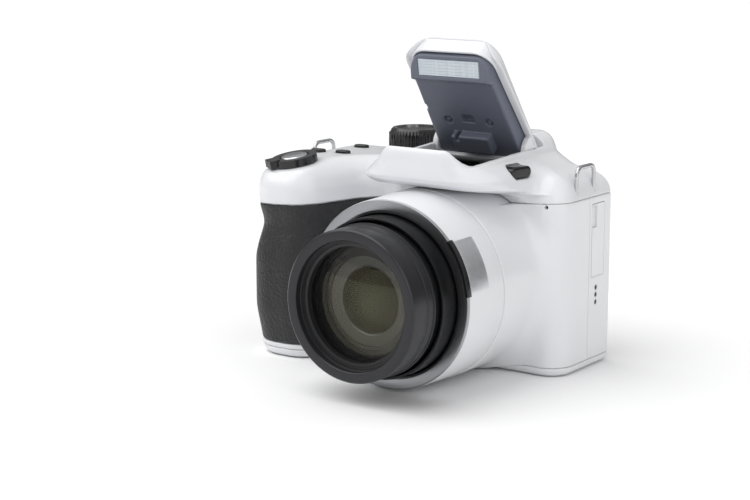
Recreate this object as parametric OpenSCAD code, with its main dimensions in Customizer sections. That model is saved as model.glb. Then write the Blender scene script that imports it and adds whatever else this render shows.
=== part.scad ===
// Bridge camera with a long zoom lens, shown with the flash raised and the lens at its wide setting.
// Millimetres. x = 0 is the lens axis, y = 0 the tripod socket, z = 0 the base; the lens looks along -Y.

/* [Body] */
// Reach of the grip side, left of the lens axis
body_left = 77; // [74:0.5:84]
// Reach of the far side, right of the lens axis
body_right = 42; // [41:0.5:50]
// Distance of the rear face behind the tripod socket
body_rear = 23.2; // [22.4:0.2:28]
// Distance of the front wall ahead of the tripod socket
front_wall = 14; // [13.5:0.25:16]
// Distance of the grip's front ahead of the tripod socket
grip_front = 47; // [45:0.5:52]
// Depth of the finger waist in the grip
grip_waist = 2.6; // [0:0.2:4]
// Height of the top deck over the lens boss
deck_over = 5; // [4.8:0.1:8]
// Height of the flash hump over the top deck
hump_rise = 11.5; // [11:0.25:14]
// Half the width of the flash hump at its parting line
hump_half = 21.2; // [20.8:0.2:24]
// Distance of the visor's front ahead of the tripod socket
visor_front = 45.8; // [45:0.2:50]
// Wall thickness of the shells
wall = 2.2; // [2:0.1:2.6]
// Thickness of the rubber grip skin
rubber_t = 1.2; // [0.8:0.1:1.4]
// Radius of the rounded top edges
top_round = 12; // [10:0.5:13]
// Thickness of the base plate
base_t = 3.2; // [3:0.1:3.4]
// Radius of the rounded bottom edges
base_round = 2.6; // [1:0.2:2.8]
// Depth of the top cover below the deck, at the lens axis
seam_drop = 12.6; // [12:0.2:14]
// Tilt of the seam under the top cover, in degrees
seam_tilt = 3; // [0:0.5:4]
// Distance of the seam between front shell and rear cover behind the tripod socket
seam_y = 6.5; // [6:0.25:7]
// Gap between neighbouring shells
seam_gap = 0.2; // [0.1:0.05:0.3]

/* [Lens] */
// Outer radius of the front barrel
front_r = 26.6; // [26:0.1:27]
// Distance of the front barrel's rim ahead of the tripod socket
front_reach = 84.5; // [84:0.25:88]
// Length of the front barrel
front_len = 37.5; // [36:0.5:39]
// Radius of the seat in the front rim, for a cap
rim_seat_r = 22.7; // [22:0.1:23.2]
// Distance of the middle barrel's front ahead of the tripod socket
middle_reach = 69.5; // [68:0.25:70]
// Length of the middle barrel
middle_len = 37.5; // [36:0.5:39]
// Distance of the name ring's face ahead of the tripod socket
ring_reach = 62; // [61:0.25:63]
// Distance of the seam round the fixed barrel ahead of the tripod socket
barrel_seam = 40; // [36:0.5:44]
// Wall of the middle barrel
middle_wall = 1; // [0.8:0.1:1.2]
// Radial gap between sliding barrels
slide_gap = 0.8; // [0.6:0.1:1]
// Distance of the zoom gear's front ahead of the tripod socket
gear_reach = 11.4; // [11:0.1:11.6]
// Teeth of the zoom ring gear
ring_teeth = 98; // [96:1:100]
// Teeth of the drive gear
drive_teeth = 12; // [11:1:13]
// Gear module
gear_module = 0.6; // [0.58:0.01:0.61]

/* [Flash] */
// Opening angle of the flash head, in degrees
flash_angle = 55; // [0:1:60]
// Distance of the flash hinge behind the tripod socket
hinge_y = 2.5; // [1:0.25:4]
// Radius of the flash hinge pin
pin_r = 0.9; // [0.7:0.1:1.1]
// Width of the flash window
window_w = 25.4; // [20:0.2:26]
// Height of the flash window
window_h = 5.8; // [4:0.2:6]

/* [Controls] */
// Radius of the mode dial
dial_r = 11; // [9:0.25:11.5]
// Height of the mode dial over the deck
dial_h = 9.2; // [7:0.2:10]
// Ribs round the mode dial
dial_ribs = 48; // [24:2:60]
// Radius of the shutter button
shutter_r = 5.2; // [4:0.1:5.4]
// Outer radius of the zoom lever ring
lever_r = 8.6; // [7.8:0.1:9.2]
// Forward tilt of the shutter's seat, in degrees
shutter_tilt = 9; // [0:0.5:12]
// Radius of the four-way ring on the rear
nav_r = 10.5; // [9:0.25:11]
// Width of the display window
display_w = 66; // [60:0.5:68]
// Height of the display window
display_h = 49; // [42:0.5:50]

/* [Base] */
// Bore radius of the tripod socket, a quarter inch thread
socket_r = 3.175; // [3:0.025:3.3]
// Depth of the tripod socket
socket_depth = 5.5; // [4:0.25:6]
// Width of the battery door from the grip side
door_w = 35.4; // [34.6:0.2:36]

/* [Hidden] */
$fn = 64;
eps = 0.01;
far = 200;
white = "whitesmoke";
black = "#222222";
grey = "#8a8f99";
steel = "silver";

// Lens stack, from the front barrel outwards
middle_in = front_r + slide_gap;
middle_r = middle_in + middle_wall;
ring_in = middle_r + 0.5;
cam_in = middle_r + 0.5;
cam_r = cam_in + 0.9;
guide_in = cam_r + 0.4;
guide_r = guide_in + 0.8;
boss_in = guide_r + 0.4;
barrel_r = boss_in + 2.3;
boss_r = boss_in + 3.1;
flare_r = 3;
guide_rear = 6.5;
ring_t = 1;
lip_t = 1.2;
lens_z = boss_r;
trim_a = [8, 40];
trim_len = 12;
trim_t = 0.7;

// Zoom gears
ring_pitch = ring_teeth * gear_module / 2;
drive_pitch = drive_teeth * gear_module / 2;
gear_dist = ring_pitch + drive_pitch;
drive_a = 140;
gear_w = 3.6;
shaft_r = 0.8;

// Heights
deck_z = lens_z + boss_r + deck_over;
seam_z = deck_z - seam_drop;
hump_top = deck_z + hump_rise;
hump_round = 6.5;
inner_top = deck_z - wall;
strip_z = base_t + 2;

// Plan of the body: valley beside the lens, and corner radii
valley_x = boss_r + 4.5;
grip_inner = valley_x + 11;
corner_front = 9;
corner_rear = 2;
corner_grip = 12;
corner_back = 13;
corner_valley = 14;
grip_middle = [-(body_left - 19), 8];

// Hump: height over the deck against setback of its front and extra half width
hump_levels = [-8, -5, -4, -3, -2, -0.6, 1, 4];
setback = [[-8, 28], [-5, 9.5], [-4, 4.8], [-3, 2.6], [-2, 1.1], [-0.6, 0.1], [1, 0], [20, 0]];
extra_w = [[-8, 8.8], [-2, 7.4], [-0.6, 6.6], [1, 5], [4, 1], [6.6, 0.3], [20, 0]];
nose_top = 10;
taper = 1.8;
nose_w = [[-8, 15], [1, 15], [4, nose_top], [20, nose_top]];
taper_w = [[-8, 0], [1, 0], [5, taper], [20, taper]];
front_keep = 0.55;
hump_rear = body_rear - 1.4;
waist_z = [[0, 0.8], [6, 0.6], [18, 0], [38, 0], [44, 0.45], [50, 1], [56, 0.5], [60, 0.35], [74, 0.3]];

// Flash head, drawn shut and then turned open about its hinge
hub_r = 6;
hinge_z = hump_top - hub_r;
hub_half = hump_half - 1;
run_gap = 0.3;
part_low = deck_z + 4;
part_high = hump_top - 1.2;
part_tilt = 3;
part_in = 11.5;
part_out = hump_half - 1.2;
visor_t = 2;
well_half = hump_half - 1.8;
well_taper = 1.4;
well_floor = lens_z + boss_r + 1.2;
tray_t = 0.8;
sill = 6.3;
ledge_z = deck_z - 0.6;
knuckle_r = 3.1;
housing_in = 1.4;
panel_z = deck_z + 1;
brow_z = deck_z - 1;
brow_y = -(visor_front - 11.8);
brow_tip = -(visor_front - visor_t - housing_in);
brow_rise = 4.2;
brow_lean = atan2(brow_rise, brow_y - brow_tip);
ceiling_z = hump_top - 2.6;

// Controls on the deck
dial_at = [-(boss_r + 1.5), 9.6];
dial_gap = 0.5;
shutter_at = [-(body_left - 14.5), -(grip_front - 14), deck_z - 2];
lever_lean = 5;
button_size = [6.4, 3.6];
press_z = 0.6;
flange_z = deck_z - 4.9;
top_buttons = [["burst_button", [-(body_left - 10.2), -13]],
               ["focus_button", [-(body_left - 20.5), -11]],
               ["power_button", [-(body_left - 17), 6]]];
release_at = [hump_half + 5.4, -18, deck_z + 0.6];
release_turn = 12;
release_size = [10.4, 4.2];
lug_wire = 0.8;
lug_rise = 5.6;
lug_half = 6.3;

// Rear face
display_at = [body_right - 4.5 - display_w / 2, base_t + 6 + display_h / 2];
display_left = display_at[0] - display_w / 2;
nav_at = [(display_left - body_left) / 2 + 1.75, 27];
set_r = 5;
rear_fit = 0.2;
small_r = 3.4;
rear_buttons = [["record_button", [nav_at[0] + 5.5, nav_at[1] + 28]],
                ["menu_button", [nav_at[0] + 10.5, nav_at[1] + 16]],
                ["info_button", [nav_at[0] - 9.5, nav_at[1] + 14.5]],
                ["play_button", [nav_at[0] - 9, nav_at[1] - 16]],
                ["delete_button", [nav_at[0] + 9, nav_at[1] - 16]]];

// Right side
port_y = [seam_y + 1.6, body_rear - 5.6];
port_z = [34, seam_z - 0.6];
port_t = 1.6;
speaker_at = [12, 26.8];

// Battery door
door_x = -(body_left - door_w);
door_rear = 4;
door_pin_z = 1.6;
door_pin_r = 0.6;
door_front = -18;
knuckle = [-12, -8];
latch_at = [-(body_left - 9), -18];
latch_size = [5, 9, 0.9];
latch_travel = 3;

// Rounded outlines and lofts

function unit(v) = v / norm(v);
function left_of(v) = [-v[1], v[0]];
function flat(p) = [p[0], p[1]];

// Corner i of an anticlockwise outline, moved inwards by d
function moved_corner(c, i, d) =
    let (n = len(c),
         u = unit(flat(c[i]) - flat(c[(i + n - 1) % n])),
         v = unit(flat(c[(i + 1) % n]) - flat(c[i])))
    flat(c[i]) + d * (left_of(u) + left_of(v)) / (1 + u * v);

// Points round corner i, whose third value is its radius; an inward corner gets a fillet
function corner_arc(c, i, d, steps) =
    let (n = len(c),
         p = moved_corner(c, i, d),
         u = unit(p - moved_corner(c, (i + n - 1) % n, d)),
         v = unit(moved_corner(c, (i + 1) % n, d) - p),
         turn = atan2(u[0] * v[1] - u[1] * v[0], u * v),
         r = max(0.6, c[i][2] - sign(turn) * d),
         middle = p - r * tan(abs(turn) / 2) * u + sign(turn) * r * left_of(u),
         w = -sign(turn) * r * left_of(u))
    [for (k = [0:steps])
        let (a = turn * k / steps)
        middle + [w[0] * cos(a) - w[1] * sin(a), w[0] * sin(a) + w[1] * cos(a)]];

function outline(c, d, steps) = [for (i = [0:len(c) - 1]) each corner_arc(c, i, d, steps)];
function at_height(points, z) = [for (p = points) [p[0], p[1], z]];

// Skin through rings of equal point count, from the lowest up; the ends fan out from a point that sees all of them
module loft(rings, middle) {
    m = len(rings[0]);
    n = len(rings);
    ends = [[middle[0], middle[1], rings[0][0][2]], [middle[0], middle[1], rings[n - 1][0][2]]];
    sides = [for (i = [0:n - 2], j = [0:m - 1])
        let (a = i * m + j, b = i * m + (j + 1) % m)
        each [[a, a + m, b + m], [a, b + m, b]]];
    caps = [for (j = [0:m - 1])
        let (k = (j + 1) % m, top = (n - 1) * m)
        each [[j, k, n * m], [top + k, top + j, n * m + 1]]];
    polyhedron(concat([for (r = rings) each r], ends), concat(sides, caps));
}

// Straight prism of a rounded outline
module prism(c, d, z0, z1, steps = 6) {
    translate([0, 0, z0]) linear_extrude(z1 - z0) polygon(outline(c, d, steps));
}

// Corners of the body's plan at one height, drawn in at the finger waist
function body_corners(z) =
    let (g = grip_waist * lookup(z * 74 / deck_z, waist_z))
    [[body_right, -front_wall, corner_front],
     [body_right, body_rear, corner_rear],
     [-body_left + g, body_rear, corner_back],
     [-body_left + g, -grip_front + g, corner_grip],
     [-grip_inner, -grip_front + g, corner_grip],
     [-valley_x, -front_wall, corner_valley]];

function body_ring(z, d, steps) = at_height(outline(body_corners(z), d, steps), z);

// Whole body below the hump, with rounded bottom and top edges
module body_form(d = 0, steps = 6) {
    r = top_round - d;
    z_turn = deck_z - top_round;
    low = [for (k = [0:3]) let (a = 30 * k)
        body_ring(base_round * (1 - cos(a)), d + base_round * (1 - sin(a)), steps)];
    middle = [for (z = [8, 18, 30, 38, 41, 44, 47, 50, 53, 56, 59]) body_ring(z * z_turn / 62, d, steps)];
    top = [for (k = [0:6]) let (a = 15 * k)
        body_ring(z_turn + r * sin(a), d + r * (1 - cos(a)), steps)];
    loft(concat(low, middle, top), grip_middle);
}

// Slab that the base plate and the battery door share, stepped in towards its lower edge
module base_form() {
    steps = [[0, 0.65], [0.2, 0.28], [0.5, 0.04]];
    for (k = steps)
        prism(body_corners(base_t), base_round * k[1], base_round * k[0], base_t);
}

// Hollow of the body above the base plate
module body_cavity() {
    r = top_round - wall;
    z_turn = deck_z - top_round;
    walls = [for (z = [base_t - 1, 18, 38, 44, 50, 56]) body_ring(z, wall, 4)];
    top = [for (k = [0:4]) let (a = 22.5 * k)
        body_ring(z_turn + r * sin(a), wall + r * (1 - cos(a)), 4)];
    loft(concat(walls, top), grip_middle);
}

// Flash hump with its overhanging visor
function hump_ring(dz, inset, d, steps) =
    let (half = hump_half + lookup(dz, extra_w),
         front = -visor_front + lookup(dz, setback) - front_keep * inset,
         near = half - lookup(dz, taper_w),
         nose = lookup(dz, nose_w),
         c = [[near, front, nose], [half, hump_rear, 8], [-half, hump_rear, 8], [-near, front, nose]])
    at_height(outline(c, inset + d, steps), deck_z + dz);

module hump_form(d = 0, steps = 6) {
    r = hump_round - d;
    turn = hump_rise - hump_round;
    low = [for (dz = hump_levels) if (dz < turn - 0.5) hump_ring(dz, 0, d, steps)];
    top = [for (k = [0:5]) let (a = 18 * k) hump_ring(turn + r * sin(a), r * (1 - cos(a)), d, steps)];
    loft(concat(low, top), [0, 0]);
}

module above_seam(lift = 0) {
    translate([0, 0, seam_z + lift]) rotate([0, -seam_tilt, 0]) translate([-far, -far, 0]) cube([2 * far, 2 * far, far]);
}

module below_seam(drop = 0) {
    translate([0, 0, seam_z - drop]) rotate([0, -seam_tilt, 0]) translate([-far, -far, -far]) cube([2 * far, 2 * far, far]);
}

module slab(z0, z1) {
    translate([-far, -far, z0]) cube([2 * far, 2 * far, z1 - z0]);
}

module ahead_of(y) {
    translate([-far, y - far, -far]) cube([2 * far, far, 2 * far]);
}

module behind(y) {
    translate([-far, y, -far]) cube([2 * far, far, 2 * far]);
}

// Lens axis: local z points forwards, local y up
module lens_axis() {
    translate([0, 0, lens_z]) rotate([90, 0, 0]) children();
}

module tube(r_in, r_out, f0, f1) {
    lens_axis() translate([0, 0, f0]) difference() {
        cylinder(r = r_out, h = f1 - f0);
        translate([0, 0, -1]) cylinder(r = r_in, h = f1 - f0 + 2);
    }
}

module disc(r, f0, f1) {
    lens_axis() translate([0, 0, f0]) cylinder(r = r, h = f1 - f0);
}

module turned(profile) {
    lens_axis() rotate_extrude() polygon(profile);
}

function polar(r, a) = [r * cos(a), r * sin(a)];

// Straight-sided gear teeth; root and tip widths are shares of the tooth spacing
function gear_points(teeth, pitch, start) =
    let (step = 360 / teeth, root = pitch - 0.7, tip = pitch + 0.45)
    [for (i = [0:teeth - 1]) let (a = start + i * step)
        each [polar(root, a - 0.31 * step), polar(tip, a - 0.15 * step),
              polar(tip, a + 0.15 * step), polar(root, a + 0.31 * step)]];

// Upright bar with round ends, centred on the origin
module oval(size, h) {
    side = size[0] - size[1];
    for (s = [-1, 1]) translate([s * side / 2, 0, 0]) cylinder(d = size[1], h = h);
    translate([-side / 2, -size[1] / 2, 0]) cube([side, size[1], h]);
}

// Outer shells

module rubber_region(gap) {
    difference() {
        intersection() {
            translate([-far, -far, strip_z + gap]) cube([far - boss_r - 1.5 - gap, far + seam_y - gap, far]);
            below_seam(seam_gap + gap);
        }
        lens_axis() cylinder(r = boss_r + flare_r + 0.5 + gap, h = far);
    }
}

module flare() {
    lens_axis() rotate_extrude() difference() {
        translate([boss_r - 1, front_wall - wall]) square([flare_r + 1, flare_r + wall]);
        translate([boss_r + flare_r, front_wall + flare_r]) circle(flare_r);
    }
}

module front_shell() {
    color(white) difference() {
        union() {
            difference() {
                intersection() {
                    body_form();
                    below_seam(seam_gap / 2);
                    ahead_of(seam_y - seam_gap / 2);
                    slab(base_t + seam_gap, far);
                }
                difference() {
                    rubber_region(0);
                    body_form(rubber_t + 0.05);
                }
                body_cavity();
            }
            intersection() {
                flare();
                below_seam(seam_gap / 2);
            }
            disc(boss_r, front_wall - wall, barrel_seam - 0.2);
        }
        disc(boss_in, 0, barrel_seam + 1);
        translate([body_right - 7, -front_wall + 5, seam_z + 0.7]) rotate([90, 0, 0]) cylinder(r = 0.7, h = 9);
        slab(-far, 0.3);
        translate([-far, -front_wall, -far]) cube([2 * far, far, far + base_t + seam_gap]);
    }
}

module rear_cover() {
    color(white) difference() {
        union() {
            difference() {
                intersection() {
                    body_form();
                    below_seam(seam_gap / 2);
                    behind(seam_y + seam_gap / 2);
                    slab(base_t + seam_gap, far);
                }
                body_cavity();
            }
            port_box(1.2, 0);
            for (k = [2, 3]) translate([screw_at[k][0], screw_at[k][1], base_t + seam_gap]) cylinder(r = 2.6, h = 4.6);
        }
        for (k = [2, 3]) translate([screw_at[k][0], screw_at[k][1], 0]) cylinder(r = 1.03, h = 12);
        port_box(0, 0.3);
        port_space(seam_gap);
        translate([body_right - port_t - 6, port_y[0] + 1.4, port_z[0] + 9.6]) cube([6, 4.8, 8.8]);
        translate([display_at[0] - display_w / 2 - 0.1, body_rear - wall - 1, display_at[1] - display_h / 2 - 0.1])
            cube([display_w + 0.2, wall + 2, display_h + 0.2]);
        on_rear(nav_at) cylinder(r = nav_r + rear_fit, h = wall + 2);
        for (b = rear_buttons) on_rear(b[1]) cylinder(r = small_r + rear_fit, h = wall + 2);
        for (k = [-1:1])
            translate([body_right - wall - 1, speaker_at[0], speaker_at[1] + 2.75 * k]) rotate([0, 90, 0])
                cylinder(r = 0.9, h = wall + 2);
    }
}

// Pocket behind the port cover, grown outwards by t
module port_box(t, cut) {
    translate([body_right - port_t - 2.2 - t, port_y[0] + 0.6 - t, port_z[0] + 0.6 - t])
        cube([2.2 + t + cut, port_y[1] - port_y[0] - 1.2 + 2 * t, port_z[1] - port_z[0] - 1.2 + 2 * t]);
}

module port_space(gap) {
    translate([body_right - port_t - gap / 2, port_y[0] - gap, port_z[0] - gap])
        cube([port_t + 1, port_y[1] - port_y[0] + 2 * gap, port_z[1] - port_z[0] + 2 * gap]);
}

// Rear face frame: local z points into the body from just outside the face
module on_rear(at) {
    translate([at[0], body_rear + 1, at[1]]) rotate([90, 0, 0]) children();
}

module top_cover() {
    color(white) difference() {
        union() {
            difference() {
                intersection() {
                    body_form();
                    above_seam(seam_gap / 2);
                }
                on_shutter() translate([-far, -far, 0]) cube([2 * far, 2 * far, far]);
            }
            hump_form();
        }
        hump_room();
        difference() {
            body_cavity();
            on_shutter() {
                translate([-far, -far, -wall]) cube([2 * far, 2 * far, far]);
                translate([0, 0, -4.5]) cylinder(r = lever_r + 0.4, h = 9);
            }
        }
        disc(boss_r + seam_gap, front_wall - 4 * wall, far);
        flash_space();
        deck_holes();
        lug_wires(lug_wire + 0.03);
        translate([0, hinge_y, hinge_z]) rotate([0, 90, 0])
            cylinder(r = pin_r + 0.03, h = 2 * (hub_half + run_gap + 0.55), center = true);
    }
}

// Hollow behind the flash, inside the fixed rear part of the hump
module hump_room() {
    y0 = hinge_y + hub_r + run_gap + 2;
    translate([-hump_half + 4, y0, deck_z - wall - 1])
        cube([2 * hump_half - 8, max(1, hump_rear - 6 - y0), hump_rise - 2]);
}

module deck_holes() {
    translate([dial_at[0], dial_at[1], deck_z - 0.2]) cylinder(r = dial_r + dial_gap, h = far);
    translate([dial_at[0], dial_at[1], deck_z - 8]) cylinder(r = 2.55, h = 20);
    for (b = top_buttons) translate([b[1][0], b[1][1], deck_z - 8])
        oval(button_size + [0.4, 0.4], 20);
    on_shutter() {
        translate([0, 0, -8]) cylinder(r = 2.4, h = 9);
        translate([0, 0, -2.2]) cylinder(r = shutter_r + 0.3, h = 3);
        translate([0, 0, -1]) difference() {
            cylinder(r = lever_r - 0.9, h = 2);
            translate([0, 0, -1]) cylinder(r = lever_r - 2.4, h = 4);
        }
    }
    on_release() {
        translate([0, 0, -4]) oval(release_size + [0.4, 0.4], 20);
        translate([0, 0, -5.5]) oval(release_size + [1.6, 1.6], 2.3);
    }
}

// Frame of the shutter's seat: local z is the press axis, pointing out
module on_shutter() {
    translate(shutter_at) rotate([shutter_tilt, -lever_lean, 0]) children();
}

// Frame of the flash release: local z points out of the hump's flank, local x runs along it
module on_release() {
    translate(release_at) rotate([0, 0, 90 - release_turn]) rotate([90, 0, 0]) children();
}

module base_plate() {
    color(white) difference() {
        union() {
            difference() {
                base_form();
                door_region(0);
            }
            translate([door_x - door_pin_z, knuckle[0], 0.3])
                cube([2 * door_pin_z + 1.5, knuckle[1] - knuckle[0], base_t - 0.6]);
        }
        cylinder(r = socket_flange + 0.05, h = 20, center = true);
        translate([door_x, 0, door_pin_z]) rotate([90, 0, 0]) cylinder(r = door_pin_r + 0.02, h = 80, center = true);
        for (p = screw_at) translate([p[0], p[1], -1]) {
            cylinder(r = 1.9, h = 2);
            cylinder(r = 1.05, h = 20);
        }
    }
}

socket_flange = 5.6;
foot_x = guide_r - 3;
screw_at = [[foot_x, -0.6], [-foot_x, -0.6], [body_right - 5, body_rear - 4.4], [-valley_x + 6, body_rear - 4.4]];

// Space that the battery door takes in the base, with its round hinge edge
module door_region(gap) {
    translate([-far, -far, -1]) cube([far + door_x + (gap > 0 ? 0 : door_pin_z + run_gap), far + door_rear - gap, 20]);
}

module battery_door() {
    color(white) difference() {
        union() {
            intersection() {
                base_form();
                door_region(run_gap);
            }
            intersection() {
                translate([door_x, door_rear - run_gap, door_pin_z]) rotate([90, 0, 0])
                    cylinder(r = door_pin_z - 0.05, h = door_rear - run_gap - door_front);
                ahead_of(door_rear - run_gap);
            }
        }
        translate([door_x - 1.5 * door_pin_z, knuckle[0] - run_gap, -1])
            cube([20, knuckle[1] - knuckle[0] + 2 * run_gap, 20]);
        translate([door_x, 20, door_pin_z]) rotate([90, 0, 0]) cylinder(r = door_pin_r + 0.06, h = 20 - door_front + 1);
        translate([latch_at[0] - latch_size[0] / 2 - 0.15, latch_at[1] - latch_size[1] / 2 - 0.15, -1])
            cube([latch_size[0] + latch_travel + 0.3, latch_size[1] + 0.3, 1 + latch_size[2] + 0.3]);
    }
}

module door_pin() {
    color(steel) translate([door_x, door_rear + 3, door_pin_z]) rotate([90, 0, 0])
        cylinder(r = door_pin_r, h = door_rear + 3 - door_front - 0.5);
}

module battery_latch() {
    color(black) translate([latch_at[0] - latch_size[0] / 2, latch_at[1] - latch_size[1] / 2, 0.1]) difference() {
        cube(latch_size);
        for (k = [0:3]) translate([1 + 0.9 * k, 0.8, -1]) cube([0.4, latch_size[1] - 1.6, 1.3]);
    }
}

module grip_rubber() {
    color(black) difference() {
        intersection() {
            body_form();
            rubber_region(0.1);
        }
        body_form(rubber_t);
    }
}

module thumb_rest() {
    color(black) on_rear([nav_at[0] - 6.5, deck_z - 21]) difference() {
        translate([0, 0, 0.1]) union() {
            oval([13, 8], 0.9);
            translate([-6.5, -6, 0]) cube([13, 6, 0.9]);
        }
        for (k = [0:3]) translate([-4.9 + 3 * k, -4.5, -1]) cube([0.8, 6, 1.5]);
    }
}

// Fixed lens parts

module lens_barrel() {
    color(white) difference() {
        turned([[boss_in, barrel_seam], [boss_r - 0.2, barrel_seam], [barrel_r, ring_reach - ring_t],
                [ring_in + 0.3, ring_reach - ring_t], [ring_in + 0.3, ring_reach - ring_t - lip_t],
                [boss_in, ring_reach - ring_t - lip_t]]);
        trim_sector(barrel_r - trim_t, boss_r + 1, -0.1);
        slab(-far, 0.3);
    }
}

module trim_sector(r0, r1, gap) {
    lens_axis() rotate([0, 0, trim_a[0] + gap]) rotate_extrude(angle = trim_a[1] - trim_a[0] - 2 * gap)
        translate([r0, ring_reach - ring_t - trim_len + gap]) square([r1 - r0, trim_len - gap]);
}

module name_ring() {
    color(steel) turned([[ring_in, ring_reach - ring_t], [barrel_r - 0.1, ring_reach - ring_t],
        [barrel_r - 0.1, ring_reach - 0.3], [barrel_r - 0.4, ring_reach],
        [ring_in + 0.3, ring_reach], [ring_in, ring_reach - 0.3]]);
}

module barrel_trim() {
    color("lightgrey") trim_sector(barrel_r - trim_t + 0.02, barrel_r + 0.15, 0.15);
}

module guide_tube() {
    color(black) difference() {
        union() {
            tube(guide_in, guide_r, guide_rear, ring_reach - ring_t - lip_t - 0.2);
            tube(9, guide_r, guide_rear - 1.3, guide_rear);
        }
        lens_axis() translate([0, 0, guide_rear + 0.4]) rotate([0, 0, drive_a - 11])
            rotate_extrude(angle = 22) translate([guide_in - 2, 0]) square([6, gear_reach - guide_rear + 0.6]);
    }
}

module rear_group() {
    color(black) union() {
        tube(7, 9.8, guide_rear, guide_rear + 8);
        tube(9.8 - eps, 12, guide_rear, guide_rear + 2);
        intersection() {
            disc(7, guide_rear + 1, guide_rear + 6.5);
            lens_axis() translate([0, 0, guide_rear - 10]) sphere(r = 16.4, $fn = 120);
        }
    }
}

sensor_y = guide_rear - 1.3;

module sensor_unit() {
    color("darkgreen") translate([0, -sensor_y, lens_z]) {
        translate([-9, 0, -8]) cube([18, 1.4, 16]);
        translate([-4, -2, -3.2]) cube([8, 2, 6.4]);
    }
}

chassis_y = -sensor_y + 1.6;

module chassis() {
    color("gray") difference() {
        union() {
            translate([-guide_r - 4, chassis_y, base_t + 5]) cube([2 * guide_r + 6, 1.2, seam_z - base_t - 9]);
            for (s = [-1, 1]) translate([s * foot_x - 2.4, chassis_y, base_t + 0.1]) cube([4.8, 6, 6]);
        }
        for (p = screw_at) translate([p[0], p[1], 0]) cylinder(r = 1.03, h = 20);
        translate([-6, chassis_y - 1, lens_z - 5]) cube([12, 4, 10]);
        motor_at() translate([0, 0, -20]) cylinder(r = motor_r + 0.4, h = 40);
    }
}

motor_r = 4.4;
motor_front = guide_rear - 1.5;
motor_len = 11;

// Frame of the zoom motor's axis, with local z forwards
module motor_at() {
    lens_axis() translate([gear_dist * cos(drive_a), gear_dist * sin(drive_a), 0]) children();
}

module zoom_motor() {
    color(steel) motor_at() difference() {
        translate([0, 0, motor_front - motor_len]) cylinder(r = motor_r, h = motor_len);
        translate([0, 0, motor_front - 3]) cylinder(r = shaft_r + 0.05, h = 4);
    }
}

module drive_gear() {
    color("goldenrod") motor_at() union() {
        translate([0, 0, gear_reach - gear_w]) linear_extrude(gear_w - run_gap)
            polygon(gear_points(drive_teeth, drive_pitch, drive_a + 180 + 180 / drive_teeth));
        translate([0, 0, motor_front - 2.8]) cylinder(r = shaft_r, h = gear_reach - gear_w - motor_front + 3);
    }
}

module cam_ring() {
    color("dimgray") union() {
        difference() {
            tube(cam_in, cam_r, gear_reach - gear_w, ring_reach - ring_t - lip_t - 1.4);
            for (k = [0:2]) lens_axis() rotate([0, 0, 20 + 120 * k]) rotate_extrude(angle = 70)
                translate([cam_in - 1, ring_reach - 22 - 6 * k]) square([4, 2.2]);
            tube(cam_r - 2, cam_r + 1, gear_reach - gear_w - 1, gear_reach);
        }
        lens_axis() translate([0, 0, gear_reach - gear_w]) difference() {
            linear_extrude(gear_w) polygon(gear_points(ring_teeth, ring_pitch, drive_a));
            translate([0, 0, -1]) cylinder(r = ring_pitch - 2, h = gear_w + 2);
        }
        tube(ring_pitch - 2, cam_r, gear_reach - eps, gear_reach + 1);
    }
}

// Moving lens barrels

module middle_barrel() {
    color(black) turned([[middle_in, middle_reach - middle_len], [middle_r, middle_reach - middle_len],
        [middle_r, middle_reach - 0.4], [middle_r - 0.4, middle_reach], [middle_in, middle_reach]]);
}

lens_bed = front_reach - 8.5;
front_in = front_r - 1.2;
seat_depth = 2.8;
seat_end = front_reach - seat_depth;
cell_r = rim_seat_r - 0.3;
lens_curve = 70;
lens_face = seat_end - 0.3;
retainer_in = cell_r - 2.3;
retainer_back = lens_face - lens_curve + sqrt(lens_curve * lens_curve - retainer_in * retainer_in) + 0.25;

module front_barrel() {
    rear = front_reach - front_len;
    flange = front_reach - 12.9;
    color("#3c3c40") turned([
        [front_in - 0.3, rear], [front_r + 0.4, rear], [front_r + 0.4, rear + 2], [front_r - 0.3, rear + 2],
        [front_r - 0.3, flange], [front_r + 0.4, flange], [front_r + 0.4, flange + 0.9], [front_r, flange + 0.9],
        [front_r, front_reach - 0.5], [front_r - 0.5, front_reach], [rim_seat_r + 0.3, front_reach],
        [rim_seat_r, front_reach - 0.3], [rim_seat_r, seat_end], [cell_r, seat_end], [cell_r, lens_bed],
        [front_in - 0.3, lens_bed]]);
}

module lens_retainer() {
    top = seat_end - 0.2;
    color(black) turned([[retainer_in, retainer_back], [cell_r - 0.05, retainer_back], [cell_r - 0.05, top],
        [cell_r - 0.9, top], [cell_r - 1.1, top - 0.6], [cell_r - 2.1, top - 0.8]]);
}

// Front element, a strong curve to the front and a weaker one behind
module front_lens() {
    color("lightsteelblue", 0.4) difference() {
        intersection() {
            disc(cell_r - 0.1, lens_bed, front_reach);
            lens_axis() translate([0, 0, lens_face - lens_curve]) sphere(r = lens_curve, $fn = 200);
        }
        lens_axis() translate([0, 0, lens_bed - 108]) sphere(r = 110, $fn = 200);
    }
}

module baffle_ring() {
    z = lens_bed;
    color(black) turned([[15.8, z - 3], [front_in - 0.4, z - 3], [front_in - 0.4, z - 0.1],
        [20.4, z - 0.1], [20.4, z - 0.9], [18.8, z - 0.9], [18.8, z - 1.7], [17.2, z - 1.7], [17.2, z - 2.4],
        [15.8, z - 2.4]]);
}

module inner_cell() {
    z = lens_bed - 3.05;
    color(grey) turned([[11.7, z - 4], [front_in - 0.4, z - 4], [front_in - 0.4, z - 0.05],
        [15.6, z - 0.05], [12.4, z - 0.6], [11.7, z - 1]]);
}

module inner_lens() {
    z = lens_bed - 3.05;
    color("lightsteelblue", 0.5) intersection() {
        disc(11.65, z - 3.6, z);
        lens_axis() translate([0, 0, z - 0.8 - 30]) sphere(r = 30, $fn = 160);
    }
}

// Flash

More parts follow.
